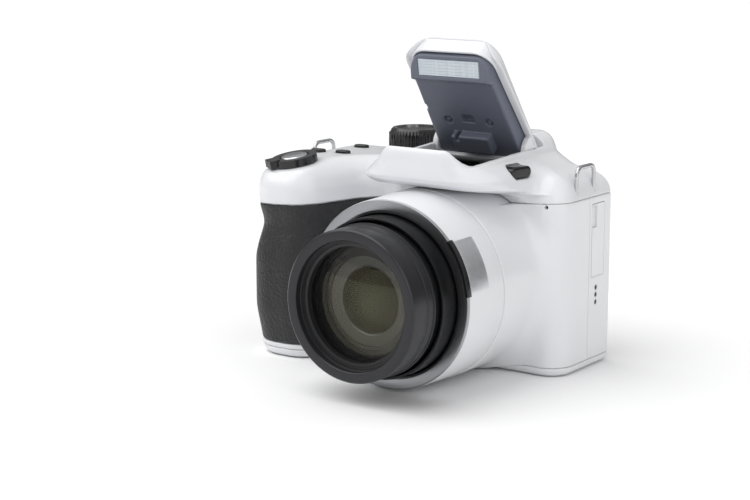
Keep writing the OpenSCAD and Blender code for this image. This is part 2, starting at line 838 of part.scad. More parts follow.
// Well in the top cover, also the plan of what lies in it; its lower part stops further back
function well_corners(front = visor_t, r = nose_top - 2.2) =
    let (near = well_half - well_taper, rear = hinge_y + hub_r + 0.9)
    [[near, -(visor_front - front), r], [well_half, rear, 2], [-well_half, rear, 2], [-near, -(visor_front - front), r]];

// Inner side of the visor, round its front corners
function tongue_corners() =
    let (half = hump_half + 0.5 - visor_t, front = -(visor_front - visor_t), r = nose_top - visor_t)
    [[half - taper, front, r], [half, hump_rear, 6], [-half, hump_rear, 6], [taper - half, front, r]];

function soft_step(t) = let (s = min(1, max(0, t))) s * s * (3 - 2 * s);
function part_line(x) =
    part_low + (part_high - part_low) * soft_step((part_out - abs(x)) / (part_out - part_in));

// Upright tongue of the visor, which stays in front of the flash head when it opens
module visor_tongue(grow) {
    edge = part_out + 4;
    line = [for (k = [-20:20]) let (x = edge * k / 20) [x, part_line(x) + grow]];
    difference() {
        translate([0, 12 - visor_front, 0]) rotate([90, 0, 0]) linear_extrude(far)
            polygon(concat([[edge, part_low - 9], [-edge, part_low - 9]], line));
        prism(tongue_corners(), grow, part_low - 10, part_high + 3);
    }
}

// Everything over the line where the flash head parts from the hump
module above_parting(lift) {
    difference() {
        translate([0, -visor_front, part_low + lift]) rotate([part_tilt, 0, 0]) translate([-far, -far, 0])
            cube([2 * far, 2 * far, far]);
        visor_tongue(lift);
    }
}

module hinge_roller(r, half) {
    translate([0, hinge_y, hinge_z]) rotate([0, 90, 0]) cylinder(r = r, h = 2 * half, center = true);
}

// Room in the top cover for the flash head over its whole swing
module flash_space() {
    intersection() {
        above_parting(-run_gap / 2);
        union() {
            ahead_of(hinge_y);
            hinge_roller(hub_r + run_gap, far);
        }
    }
    hinge_roller(hub_r + run_gap, hub_half + run_gap);
    flash_open() translate([-hub_half - run_gap, hinge_y - 12, hinge_z])
        cube([2 * (hub_half + run_gap), 12, hub_r + run_gap]);
    intersection() {
        prism(well_corners(), 0, hinge_z - 1, part_low + 4.5);
        ahead_of(hinge_y);
    }
    prism(well_corners(), 0, ledge_z, hinge_z);
    prism(well_corners(sill, 4), 0, well_floor, hinge_z);
}

module flash_tray() {
    color(black) {
        prism(well_corners(sill, 4), 0.15, well_floor + 0.05, well_floor + tray_t);
        intersection() {
            difference() {
                union() {
                    prism(well_corners(sill, 4), 0.15, well_floor + tray_t - eps, ledge_z + tray_t);
                    prism(well_corners(), 0.15, ledge_z + 0.05, part_low - 1);
                }
                prism(well_corners(sill, 4), 0.95, well_floor, part_low);
                prism(well_corners(), 0.95, ledge_z + tray_t, part_low);
            }
            ahead_of(hinge_y - hub_r - 0.8);
        }
    }
}

module flash_pin() {
    color(steel) hinge_roller(pin_r, hub_half + run_gap + 0.5);
}

module flash_open() {
    translate([0, hinge_y, hinge_z]) rotate([-flash_angle, 0, 0]) translate([0, -hinge_y, -hinge_z]) children();
}

module flash_cover() {
    color(white) flash_open() difference() {
        union() {
            intersection() {
                hump_form();
                above_parting(run_gap / 2);
                union() {
                    ahead_of(hinge_y - 1.5);
                    translate([-hub_half, hinge_y - 2, 0]) cube([2 * hub_half, 2, far]);
                    hinge_roller(hub_r, hub_half);
                }
            }
            intersection() {
                hinge_roller(hub_r, hub_half);
                hump_form();
            }
        }
        intersection() {
            prism(well_corners(), housing_in - 0.15, 0, ceiling_z + 0.15);
            ahead_of(hinge_y);
        }
        hinge_roller(knuckle_r + 0.15, well_half - housing_in + 0.15);
        hinge_roller(pin_r + 0.06, far);
    }
}

// Side profile of the flash housing, shut: flat panel, then the brow that carries the window
module housing_profile() {
    polygon([[hinge_y, panel_z], [brow_y + 2.2, panel_z], [brow_y, brow_z], [brow_tip, brow_z + brow_rise],
             [brow_tip, ceiling_z], [hinge_y, ceiling_z]]);
}

// Frame on the brow's sloping face: local z points out, local x runs across
module on_brow() {
    translate([0, (brow_y + brow_tip) / 2, brow_z + brow_rise / 2]) rotate([180 - brow_lean, 0, 0]) children();
}

module plate(w, h, z0, z1) {
    translate([-w / 2, -h / 2, z0]) cube([w, h, z1 - z0]);
}

module flash_housing() {
    color(grey) flash_open() difference() {
        union() {
            intersection() {
                translate([-well_half, 0, 0]) rotate([90, 0, 90]) linear_extrude(2 * well_half) housing_profile();
                prism(well_corners(), housing_in, 0, far);
            }
            hinge_roller(knuckle_r, well_half - housing_in);
            translate([-8, hinge_y - 11, panel_z - 3.4]) cube([16, 8, 3.5]);
        }
        hinge_roller(pin_r + 0.06, far);
        on_brow() plate(window_w + 0.2, window_h + 0.2, -5.2, 1);
        translate([-2.6, hinge_y - 19, panel_z - 1]) cube([5.2, 4, 3]);
        for (s = [-1, 1]) translate([8.7 * s, hinge_y - 16, panel_z - 1]) cylinder(r = 1.6, h = 2.5);
        translate([-well_half + 4, hinge_y - 30, panel_z + 2]) cube([2 * well_half - 8, 25, far]);
    }
}

module flash_window() {
    color("white", 0.6) flash_open() on_brow() difference() {
        plate(window_w, window_h, -1.1, -0.1);
        for (k = [-2:2]) translate([-window_w, 1.1 * k - 0.15, -0.3]) cube([2 * window_w, 0.3, 1]);
    }
}

module flash_reflector() {
    color(steel) flash_open() on_brow() difference() {
        plate(window_w, window_h, -5, -1.2);
        translate([0, 0, -1]) rotate([0, 90, 0]) cylinder(r = window_h / 2 - 0.4, h = 2 * window_w, center = true);
    }
}

module flash_tube() {
    color("white") flash_open() on_brow() translate([0, 0, -2.5]) rotate([0, 90, 0])
        cylinder(r = 0.9, h = window_w - 0.4, center = true);
}

module flash_release() {
    color(black) on_release() {
        translate([0, 0, -3.6]) oval(release_size, 4.6);
        translate([0, 0, -4.4]) oval(release_size + [1.2, 1.2], 0.9);
    }
}

// Deck controls

module shutter_button() {
    color(steel) on_shutter() {
        intersection() {
            translate([0, 0, -0.8]) cylinder(r = shutter_r, h = 6);
            translate([0, 0, 4 - 26]) sphere(r = 26, $fn = 120);
        }
        translate([0, 0, -6]) cylinder(r = 2.35, h = 6);
    }
}

module zoom_lever() {
    color(black) on_shutter() difference() {
        union() {
            translate([0, 0, 0.3]) cylinder(r = lever_r, h = 2.7);
            translate([0, 0, -0.7]) cylinder(r = lever_r - 1.1, h = 2);
            rotate([0, 0, 235]) translate([lever_r - 2, -3.2, 0.5]) cube([4, 6.4, 2.9]);
        }
        translate([0, 0, -2]) cylinder(r = shutter_r + 0.4, h = 20);
        translate([0, 0, -2]) cylinder(r = lever_r - 2.2, h = 2.3);
        for (k = [-2:2]) rotate([0, 0, 235]) translate([lever_r + 1.6, 1.2 * k - 0.3, 0]) cube([2, 0.6, 9]);
    }
}

module mode_dial() {
    z0 = deck_z + 0.4;
    step = 360 / dial_ribs;
    rib = [for (k = [0:dial_ribs - 1]) each [polar(dial_r - 0.5, (k - 0.3) * step), polar(dial_r, (k - 0.2) * step),
        polar(dial_r, (k + 0.2) * step), polar(dial_r - 0.5, (k + 0.3) * step)]];
    color(black) translate([dial_at[0], dial_at[1], 0]) difference() {
        union() {
            translate([0, 0, z0]) linear_extrude(dial_h - 2) polygon(rib);
            translate([0, 0, z0 + dial_h - 2]) cylinder(r1 = dial_r - 0.5, r2 = dial_r - 1.6, h = 1.6);
            translate([0, 0, deck_z - 6]) cylinder(r = 2.5, h = 7);
            translate([0, 0, deck_z - 6]) cylinder(r = 4, h = 2.8);
        }
        translate([0, 0, z0 + dial_h - 0.9]) cylinder(r = dial_r - 2.2, h = 2);
    }
}

module dial_ring() {
    color(steel) translate([dial_at[0], dial_at[1], deck_z + 0.4 + dial_h - 0.88]) difference() {
        cylinder(r = dial_r - 2.25, h = 0.5);
        translate([0, 0, -1]) cylinder(r = dial_r - 3, h = 3);
    }
}

module deck_button(i) {
    at = top_buttons[i][1];
    color(black) translate([at[0], at[1], 0]) {
        translate([0, 0, flange_z]) oval(button_size, deck_z + 0.9 - flange_z);
        translate([0, 0, flange_z - 0.8]) oval(button_size + [1.6, 1.6], 0.8);
    }
}

module burst_button() { deck_button(0); }
module focus_button() { deck_button(1); }
module power_button() { deck_button(2); }

// Rear controls and display

module rear_button(i, proud = 0.8) {
    color(black) on_rear(rear_buttons[i][1]) {
        translate([0, 0, 1 - proud]) cylinder(r = small_r, h = proud + wall + 0.3);
        translate([0, 0, 1 + wall + 0.25]) cylinder(r = small_r + 0.8, h = 0.8);
    }
}

module record_button() { rear_button(0); }
module menu_button() { rear_button(1); }
module info_button() { rear_button(2); }
module play_button() { rear_button(3); }
module delete_button() { rear_button(4); }

module nav_ring() {
    color(black) on_rear(nav_at) difference() {
        union() {
            translate([0, 0, 0.1]) cylinder(r = nav_r, h = 0.9 + wall + 0.3);
            translate([0, 0, 1 + wall + 0.25]) cylinder(r = nav_r + 0.9, h = 0.8);
        }
        translate([0, 0, -1]) cylinder(r = set_r + 0.25, h = 20);
    }
}

module set_button() {
    color(grey) on_rear(nav_at) {
        translate([0, 0, 0.3]) cylinder(r = set_r, h = wall + 3);
        translate([0, 0, wall + 3.2]) cylinder(r = set_r + 1, h = 0.8);
    }
}

module display_window() {
    color("black", 0.6) translate([display_at[0] - display_w / 2, body_rear - wall + 0.05, display_at[1] - display_h / 2])
        cube([display_w, wall - 0.15, display_h]);
}

module display_panel() {
    color("dimgray") translate([display_left - 0.6, body_rear - wall - 1.9, display_at[1] - display_h / 2 - 0.6])
        cube([display_w + 1.2, 1.85, display_h + 1.2]);
}

// Inner pieces

board_y = 9.4;

module main_board() {
    color("darkgreen") {
        translate([-guide_r - 2, board_y, base_t + 4]) cube([guide_r + 2 + body_right - 6.6, 1.4, seam_z - base_t - 9]);
        for (c = [[-20, 20, 14], [4, 30, 16], [-6, 12, 9]])
            translate([c[0], board_y - 1.4, c[1]]) cube([c[2], 1.45, c[2]]);
    }
}

battery_size = [10, 36, 41];
battery_at = [-(body_left - 9), -(grip_front - 8), base_t + 1.2];

module battery() {
    color("dimgray") translate(battery_at) cube(battery_size);
}

module battery_case() {
    t = 1;
    color(black) difference() {
        translate(battery_at - [t + 0.4, t + 0.4, 0.9])
            cube(battery_size + [2 * t + 0.8, 2 * t + 0.8, t + 1.4]);
        translate(battery_at - [0.4, 0.4, 2]) cube(battery_size + [0.8, 0.8, 2.4]);
    }
}

module flash_capacitor() {
    color("black") translate([battery_at[0] + battery_size[0] + 1.6 + 4.5, -16, base_t + 8]) cylinder(r = 4.5, h = 34);
}

module speaker() {
    color(black) translate([body_right - wall - 4, speaker_at[0] + 0.6, speaker_at[1]]) rotate([0, 90, 0]) {
        cylinder(r = 4.4, h = 3.9);
    }
}

module usb_socket() {
    color(steel) translate([body_right - port_t - 7, board_y + 1.45, port_z[0] + 10]) difference() {
        cube([7.4 - 2.2, 3, 8]);
        translate([1, 0.5, 0.6]) cube([9, 2, 6.8]);
    }
}

module tripod_socket() {
    color("goldenrod") difference() {
        union() {
            cylinder(r = socket_flange, h = base_t);
            cylinder(r = socket_flange - 1, h = socket_depth + 1.2);
        }
        translate([0, 0, -1]) cylinder(r = socket_r, h = socket_depth + 1);
    }
}

module base_screws() {
    color(steel) for (p = screw_at) translate([p[0], p[1], 0]) difference() {
        union() {
            translate([0, 0, 0.2]) cylinder(r = 1.8, h = 0.8);
            translate([0, 0, 0.2]) cylinder(r = 1, h = base_t + 3.6);
        }
        for (a = [0, 90]) rotate([0, 0, a]) translate([-1.1, -0.22, -1]) cube([2.2, 0.44, 1.7]);
    }
}

// Wire loops for the strap, one on each shoulder
module lug_wires(r) {
    for (p = [[-1, body_left - top_round + 10.8, 2.5], [1, body_right - top_round + 10.8, 4]])
        translate([p[0] * p[1], p[2], deck_z - 4.3]) {
            for (s = [-1, 1]) {
                translate([0, s * lug_half, -5.2]) cylinder(r = r, h = lug_rise + 2.2);
                translate([0, s * (lug_half - 3), lug_rise - 3]) rotate([0, 90, 0]) rotate([0, 0, s > 0 ? 90 : 180])
                    rotate_extrude(angle = 90) translate([3, 0]) circle(r);
            }
            translate([0, lug_half - 3, lug_rise]) rotate([90, 0, 0]) cylinder(r = r, h = 2 * lug_half - 6);
        }
}

module strap_lugs() {
    color(steel) lug_wires(lug_wire);
}

module port_cover() {
    color(white) difference() {
        union() {
            translate([body_right - port_t, port_y[0], port_z[0]])
                cube([port_t, port_y[1] - port_y[0] - port_t / 2, port_z[1] - port_z[0]]);
            translate([body_right - port_t / 2, port_y[1] - port_t / 2, port_z[0]])
                cylinder(r = port_t / 2, h = port_z[1] - port_z[0]);
        }
        translate([body_right - 0.9, port_y[0] - 1, port_z[1] - 8.6]) cube([2, 4.4, 8.2]);
    }
}

front_shell();
rear_cover();
top_cover();
base_plate();
grip_rubber();
thumb_rest();
lens_barrel();
name_ring();
barrel_trim();
guide_tube();
rear_group();
sensor_unit();
chassis();
main_board();
battery();
battery_case();
flash_capacitor();
speaker();
usb_socket();
tripod_socket();
base_screws();
display_panel();
display_window();
strap_lugs();
zoom_motor();
drive_gear();
cam_ring();
middle_barrel();
front_barrel();
lens_retainer();
front_lens();
baffle_ring();
inner_cell();
inner_lens();
flash_tray();
flash_pin();
flash_cover();
flash_housing();
flash_window();
flash_reflector();
flash_tube();
flash_release();
shutter_button();
zoom_lever();
mode_dial();
dial_ring();
burst_button();
focus_button();
power_button();
record_button();
menu_button();
info_button();
play_button();
delete_button();
nav_ring();
set_button();
battery_door();
door_pin();
battery_latch();
port_cover();
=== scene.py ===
"""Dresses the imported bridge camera: moulded housing, pop-up flash, zoom barrels, controls and stage."""
import functools
import math

import bmesh
import bpy
import numpy as np
import openvdb
from bpy.props import FloatProperty, FloatVectorProperty, PointerProperty
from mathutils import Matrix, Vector


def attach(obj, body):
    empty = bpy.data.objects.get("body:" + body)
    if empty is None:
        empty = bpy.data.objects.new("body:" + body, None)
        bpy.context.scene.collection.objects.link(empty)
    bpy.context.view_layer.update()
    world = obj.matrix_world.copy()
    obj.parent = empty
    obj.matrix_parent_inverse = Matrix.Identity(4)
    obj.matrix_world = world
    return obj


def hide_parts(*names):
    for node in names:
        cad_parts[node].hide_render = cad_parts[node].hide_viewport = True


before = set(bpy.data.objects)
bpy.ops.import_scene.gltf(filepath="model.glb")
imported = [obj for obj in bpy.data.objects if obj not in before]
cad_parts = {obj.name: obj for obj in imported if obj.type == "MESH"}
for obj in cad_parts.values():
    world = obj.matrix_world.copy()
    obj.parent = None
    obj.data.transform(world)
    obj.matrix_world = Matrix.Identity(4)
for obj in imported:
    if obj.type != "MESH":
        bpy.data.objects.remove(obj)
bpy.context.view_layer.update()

bl_info = {
    "name": "Bridge camera",
    "version": (1, 0, 0),
    "blender": (4, 5, 0),
    "location": "View3D > Sidebar > Camera",
    "description": "Builds the finished look of a white bridge camera over its packed solids",
    "category": "Object",
}

MM = 0.001

# The sizes below are in millimetres and repeat the part's source: x across, y to the rear, z up

# Housing: reach from the lens axis, grip, deck, base and walls, and the seam under the top cover
BODY_LEFT, BODY_RIGHT, BODY_REAR = 77.0, 42.0, 23.2
FRONT_WALL, GRIP_FRONT, GRIP_WAIST = 14.0, 47.0, 2.6
DECK, TOP_ROUND, BASE, BASE_ROUND = 74.0, 12.0, 3.2, 2.6
WALL, RUBBER, RUBBER_PLAY, RUBBER_EDGE = 2.2, 1.2, 0.05, 0.1
SEAM, SEAM_TILT, SEAM_Y = 61.4, math.radians(3), 6.5

# Clearances: between fixed pieces, round moving ones, and on each side of a tight seam
GAP, RUN, LINE = 0.2, 0.3, 0.03

# Hump with its visor, and the S-shaped line where the flash lid parts from it
HUMP_RISE, HUMP_HALF, HUMP_ROUND, HUMP_ROOT = 11.5, 21.2, 6.5, 8.0
HUMP_TOP, HUMP_REAR, HUMP_CORNER, FRONT_INSET = DECK + HUMP_RISE, BODY_REAR - 1.4, 8.0, 0.45
VISOR_FRONT, VISOR_T, NOSE, TAPER, TONGUE = 45.8, 2.0, 10.0, 1.8, 12.0
PART_LOW, PART_HIGH, PART_TILT = DECK + 4, HUMP_TOP - 1.2, math.radians(3)
PART_IN, PART_OUT = 11.5, HUMP_HALF - 1.2

# Flash: hinge, the well that it shuts into, and how the grey housing sits in the lid
HINGE_Y, HINGE_Z, HUB, HUB_HALF = 2.5, HUMP_TOP - 6.0, 6.0, HUMP_HALF - 1
FLASH_ANGLE = math.radians(55)
WELL_HALF, WELL_TAPER, WELL_REAR, WELL_FLOOR = HUMP_HALF - 1.8, 1.4, HINGE_Y + HUB + 0.9, 70.2
SILL = 6.3
HEAD_IN, HEAD_TOP, HEAD_HUB, HEAD_PLAY = 1.4, HUMP_TOP - 2.6, 3.1, 0.15

# Lens: radii about its axis, and reach forward from the origin
LENS_Z, BOSS, BOSS_IN, BARREL, RING_IN = 34.5, 34.5, 31.4, 33.7, 28.9
BARREL_SEAM, RING_FRONT, RING_T = 40.0, 62.0, 1.0
BOSS_FILLET, BOSS_FOOT = 9.0, 0.3

# Controls: places and sizes of the keys, and the room that their openings leave
DIAL, DIAL_R, DIAL_H, DIAL_ROOM = (-36.0, 9.6), 11.0, 9.2, 0.5
SHUTTER, SHUTTER_TILT, SHUTTER_LEAN = (-62.5, -33.0, 72.0), math.radians(9), math.radians(-5)
SHUTTER_KEY, SEAT_ROUND = 10.4, 1.6
RELEASE, RELEASE_TURN = (26.6, -18.0, 74.6), math.radians(12)
RELEASE_KEY, RELEASE_DEPTH = (10.4, 4.2), 5.5
DECK_BUTTONS = {"burst_button": (-66.8, -13), "focus_button": (-56.5, -11), "power_button": (-60, 6)}
DECK_KEY, KEY_ROOM = (6.4, 3.6), 0.4
REAR_BUTTONS = {"record_button": (-45.5, 55), "menu_button": (-40.5, 43), "info_button": (-60.5, 41.5),
                "play_button": (-60, 11), "delete_button": (-42, 11)}
REAR_KEY, REAR_HOLE = 6.8, 7.3
NAV, NAV_HOLE, SET_KEY = (-51.0, 27.0), 21.5, 10.0

# Openings: display, side port with its socket, speaker and microphone, and the depth of the other holes
DISPLAY_X, DISPLAY_Z, DISPLAY_PLAY = (-28.5, 37.5), (9.2, 58.2), 0.15
PORT_Y, PORT_Z, PORT_RIM, PORT_PLAY = (8.1, 17.6), (34.0, 60.8), 0.6, 0.08
SOCKET_Y, SOCKET_Z = (9.5, 14.3), (43.6, 52.4)
SPEAKER, SPEAKER_PITCH, SPEAKER_HOLE, CLOTH = (12.0, 26.8), 2.75, 1.8, 1.7
MIC, MIC_HOLE, MIC_DEPTH = (35.0, 62.1), 1.4, 5.0
HOLE_DEPTH = 6.0

# Base: battery door with its pin, lug and latch, tripod socket and screws
DOOR_X, DOOR_REAR, DOOR_PIN_Z, KNUCKLE, KNUCKLE_FRONT = -41.6, 4.0, 1.6, 1.55, -18.0
LUG_Y, LATCH_X, LATCH_Y, LATCH_DEPTH = (-12.0, -8.0), (-70.65, -62.35), (-22.65, -13.35), 1.2
TRIPOD_HOLE, SCREW_HOLE, SCREW_DEPTH = 11.3, 3.8, 1.2
SCREWS = ((28, -0.6), (-28, -0.6), (37, 18), (-33, 18))


def srgb(code):
    """Linear RGBA of an sRGB hex colour such as "#f0f0f2"."""
    parts = [int(code[i:i + 2], 16) / 255 for i in (1, 3, 5)]
    return [c / 12.92 if c <= 0.04045 else ((c + 0.055) / 1.055) ** 2.4 for c in parts] + [1.0]


def shade(tone, share):
    """Colour made darker or paler by a share."""
    return [c * share for c in tone]


# Properties

def colour(name, description, code):
    """Colour property with an sRGB hex default."""
    return FloatVectorProperty(name=name, description=description, subtype="COLOR", size=4, min=0, max=1,
                               default=srgb(code))


class FinishProps(bpy.types.PropertyGroup):
    """Colours and gloss of the finishes."""
    body: colour("Body", "Moulded white housing", "#e6e7ea")
    rubber: colour("Grip", "Pebbled rubber skin", "#1d1d1f")
    control: colour("Controls", "Glossy black controls", "#141416")
    gloss: FloatProperty(name="Body roughness", description="Roughness of the white housing", min=0, max=1,
                         default=0.2)


class FormProps(bpy.types.PropertyGroup):
    """Sizes of the moulded forms."""
    pitch: FloatProperty(name="Sampling", description="Spacing of the points that housings are skinned from",
                         unit="LENGTH", min=0.0002, max=0.002, default=0.0004)
    fillet: FloatProperty(name="Hump fillet", description="Width of the blend between hump and deck",
                          unit="LENGTH", min=0.0005, max=0.01, default=0.005)
    edge: FloatProperty(name="Edge round", description="Rounding of moulded edges and seams", unit="LENGTH",
                        min=0.0001, max=0.002, default=0.0006)


class StageProps(bpy.types.PropertyGroup):
    """Camera and floor."""
    eye: FloatVectorProperty(name="Camera", description="Camera position", subtype="TRANSLATION",
                             unit="LENGTH", default=(0.351126, -0.561339, 0.171451))
    target: FloatVectorProperty(name="Target", description="Point that the camera looks at",
                                subtype="TRANSLATION", unit="LENGTH", default=(-0.005049, -0.062, 0.050004))
    focal: FloatProperty(name="Focal length", description="Focal length in millimetres", min=20, max=300,
                         default=86.4)
    floor: colour("Floor", "Pale studio floor", "#fafafa")


# Materials: each look fills a tree with its pattern and gives the inputs of the principled shader

def add(tree, kind, inputs=(), **settings):
    """New shader node with its settings and inputs; a node or socket that is given as an input is linked."""
    node = tree.nodes.new("ShaderNode" + kind)
    for key, value in settings.items():
        setattr(node, key, value)
    for key, value in dict(inputs).items():
        if isinstance(value, bpy.types.Node):
            value = next(socket for socket in value.outputs if socket.enabled)
        if isinstance(value, bpy.types.NodeSocket):
            tree.links.new(value, node.inputs[key])
        else:
            node.inputs[key].default_value = value
    return node


def moulded_abs(tree, place):
    """Injection-moulded ABS with a polished tool finish: white and glossy, with a faint flow waviness."""
    props = bpy.context.scene.camera_finish
    wave = add(tree, "TexNoise", {"Vector": place, "Scale": 1 / (14 * MM), "Detail": 2})
    haze = add(tree, "MapRange", {"Value": wave, "To Min": props.gloss - 0.03, "To Max": props.gloss + 0.05})
    grain = add(tree, "TexNoise", {"Vector": place, "Scale": 1 / (0.9 * MM), "Detail": 2})
    bump = add(tree, "Bump", {"Height": grain, "Strength": 0.05, "Distance": 0.02 * MM})
    tone = add(tree, "Mix", {"Factor": wave, "A": shade(props.body, 0.975), "B": props.body},
               data_type="RGBA")
    return {"Base Color": tone, "Roughness": haze, "Normal": bump, "IOR": 1.53}


def pebbled_rubber(tree, place):
    """Moulded thermoplastic rubber with a pebbled grain: dark and matt, with small soft glints."""
    tint = bpy.context.scene.camera_finish.rubber
    # Pebbles drawn a little coarser than real ones, so that they show
    pebble = add(tree, "TexVoronoi", {"Vector": place, "Scale": 1 / (1.1 * MM), "Smoothness": 0.5},
                 feature="SMOOTH_F1")
    worn = add(tree, "TexNoise", {"Vector": place, "Scale": 1 / (9 * MM), "Detail": 3})
    tone = add(tree, "Mix", {"Factor": worn, "A": shade(tint, 0.75), "B": shade(tint, 1.25)},
               data_type="RGBA")
    rough = add(tree, "MapRange", {"Value": worn, "To Min": 0.42, "To Max": 0.56})
    bump = add(tree, "Bump", {"Height": pebble, "Strength": 0.9, "Distance": 0.35 * MM}, invert=True)
    return {"Base Color": tone, "Roughness": rough, "Normal": bump, "IOR": 1.52}


def gloss_black(tree, place):
    """Polished black ABS: deep black with clear reflections and slight polishing haze."""
    haze = add(tree, "TexNoise", {"Vector": place, "Scale": 1 / (3 * MM), "Detail": 3})
    rough = add(tree, "MapRange", {"Value": haze, "To Min": 0.12, "To Max": 0.24})
    return {"Base Color": bpy.context.scene.camera_finish.control, "Roughness": rough, "IOR": 1.53}


def matt_black(tree, place):
    """Spark-eroded black polycarbonate: matt, with a fine even grit."""
    grit = add(tree, "TexNoise", {"Vector": place, "Scale": 1 / (0.35 * MM), "Detail": 2})
    tone = add(tree, "Mix", {"Factor": grit, "A": srgb("#131314"), "B": srgb("#202022")}, data_type="RGBA")
    bump = add(tree, "Bump", {"Height": grit, "Strength": 0.2, "Distance": 0.03 * MM})
    return {"Base Color": tone, "Normal": bump, "Roughness": 0.48}


def painted_barrel(tree, place, low, high, rough):
    """Satin paint on a turned aluminium tube: dark, with faint turning lines round the axis."""
    way = add(tree, "SeparateXYZ", {"Vector": place})
    lines = add(tree, "TexNoise", {"W": way.outputs["Y"], "Scale": 1 / (0.25 * MM), "Detail": 2},
                noise_dimensions="1D")
    tone = add(tree, "Mix", {"Factor": lines, "A": srgb(low), "B": srgb(high)}, data_type="RGBA")
    bump = add(tree, "Bump", {"Height": lines, "Strength": 0.12, "Distance": 0.02 * MM})
    return {"Base Color": tone, "Normal": bump, "Metallic": 0.55, "Roughness": rough}


def off_axis(tree, place):
    """Nodes that give a point's vector from the lens axis, and its length."""
    centred = add(tree, "VectorMath", {0: place, 1: (0, 0, -LENS_Z * MM)}, operation="ADD")
    flat = add(tree, "VectorMath", {0: centred, 1: (1, 0, 1)}, operation="MULTIPLY")
    return flat, add(tree, "VectorMath", {0: flat}, operation="LENGTH")


def spun_aluminium(tree, place):
    """Spun and clear-coated aluminium: fine concentric lines that stretch the highlights."""
    flat, radius = off_axis(tree, place)
    lines = add(tree, "TexNoise", {"W": radius, "Scale": 1 / (0.18 * MM), "Detail": 3}, noise_dimensions="1D")
    tone = add(tree, "Mix", {"Factor": lines, "A": srgb("#85878b"), "B": srgb("#b9babd")}, data_type="RGBA")
    rough = add(tree, "MapRange", {"Value": lines, "To Min": 0.24, "To Max": 0.4})
    bump = add(tree, "Bump", {"Height": lines, "Strength": 0.25, "Distance": 0.02 * MM})
    round_axis = add(tree, "VectorMath", {0: flat, 1: (0, 1, 0)}, operation="CROSS_PRODUCT")
    tangent = add(tree, "VectorMath", {0: round_axis}, operation="NORMALIZE")
    return {"Base Color": tone, "Roughness": rough, "Normal": bump, "Tangent": tangent, "Anisotropic": 0.85,
            "Metallic": 1.0}


def bare_metal(tree, place, low, high, rough):
    """Metal as drawn, turned or plated: bright, with a small tonal drift and uneven polish."""
    drift = add(tree, "TexNoise", {"Vector": place, "Scale": 1 / (2 * MM), "Detail": 4})
    tone = add(tree, "Mix", {"Factor": drift, "A": srgb(low), "B": srgb(high)}, data_type="RGBA")
    haze = add(tree, "MapRange", {"Value": drift, "To Min": rough * 0.8, "To Max": rough * 1.3})
    return {"Base Color": tone, "Roughness": haze, "Metallic": 1.0}


def satin_plastic(tree, place, low, high, rough):
    """Fine-textured moulded plastic: satin, with slight mottling."""
    mottle = add(tree, "TexNoise", {"Vector": place, "Scale": 1 / (0.5 * MM), "Detail": 3})
    tone = add(tree, "Mix", {"Factor": mottle, "A": srgb(low), "B": srgb(high)}, data_type="RGBA")
    bump = add(tree, "Bump", {"Height": mottle, "Strength": 0.1, "Distance": 0.02 * MM})
    return {"Base Color": tone, "Normal": bump, "Roughness": rough}


def coated_glass(tree, place):
    """Multi-coated optical glass: almost clear, and its thin film sends back only a weak warm reflection."""
    drift = add(tree, "TexNoise", {"Vector": place, "Scale": 1 / (12 * MM), "Detail": 1})
    tone = add(tree, "Mix", {"Factor": drift, "A": srgb("#a3a58e"), "B": srgb("#b0a68e")}, data_type="RGBA")
    return {"Base Color": tone, "Metallic": 1.0, "Roughness": 0.02, "Alpha": 0.05}


def deep_glass(tree, place):
    """Coated inner element: olive in the middle, and dark because no light comes back from behind it."""
    radius = off_axis(tree, place)[1]
    share = add(tree, "MapRange", {"Value": radius, "From Max": 11.6 * MM})
    tone = add(tree, "Mix", {"Factor": share, "A": srgb("#3a3d2c"), "B": srgb("#2a2820")}, data_type="RGBA")
    dust = add(tree, "TexNoise", {"Vector": place, "Scale": 1 / (5 * MM), "Detail": 3})
    rough = add(tree, "MapRange", {"Value": dust, "To Min": 0.1, "To Max": 0.13})
    return {"Base Color": tone, "Roughness": rough, "IOR": 1.3, "Specular IOR Level": 0.2}


def prism_window(tree, place):
    """Moulded clear acrylic with fine ribs: milky over the reflector, with a faint painted glow although the
    flash does not fire.
    """
    way = add(tree, "SeparateXYZ", {"Vector": place})
    ribs = add(tree, "TexNoise", {"W": way.outputs["X"], "Scale": 1 / (1.4 * MM), "Detail": 1},
               noise_dimensions="1D")
    tone = add(tree, "Mix", {"Factor": ribs, "A": srgb("#b4bec4"), "B": srgb("#d9e1e5")}, data_type="RGBA")
    bump = add(tree, "Bump", {"Height": ribs, "Strength": 0.3, "Distance": 0.1 * MM})
    # The emission is a painted glow: the window shines faintly though no lamp is lit in it
    return {"Base Color": tone, "Normal": bump, "Transmission Weight": 0.3, "Roughness": 0.22, "IOR": 1.49,
            "Emission Color": srgb("#f4f8ff"), "Emission Strength": 0.12}


def display_glass(tree, place):
    """Hard-coated acrylic over a dark panel: near black and very glossy, with faint smears."""
    smear = add(tree, "TexNoise", {"Vector": place, "Scale": 1 / (18 * MM), "Detail": 4})
    rough = add(tree, "MapRange", {"Value": smear, "To Min": 0.03, "To Max": 0.09})
    return {"Base Color": srgb("#0b0c10"), "Roughness": rough, "IOR": 1.5}


def painted_board(tree, place):
    """Board with matt white paint: almost even, with a very slow drift of tone."""
    tint = bpy.context.scene.camera_stage.floor
    drift = add(tree, "TexNoise", {"Vector": place, "Scale": 1 / (400 * MM), "Detail": 2})
    tone = add(tree, "Mix", {"Factor": drift, "A": shade(tint, 0.985), "B": tint}, data_type="RGBA")
    return {"Base Color": tone, "Roughness": 0.7, "Specular IOR Level": 0.15}


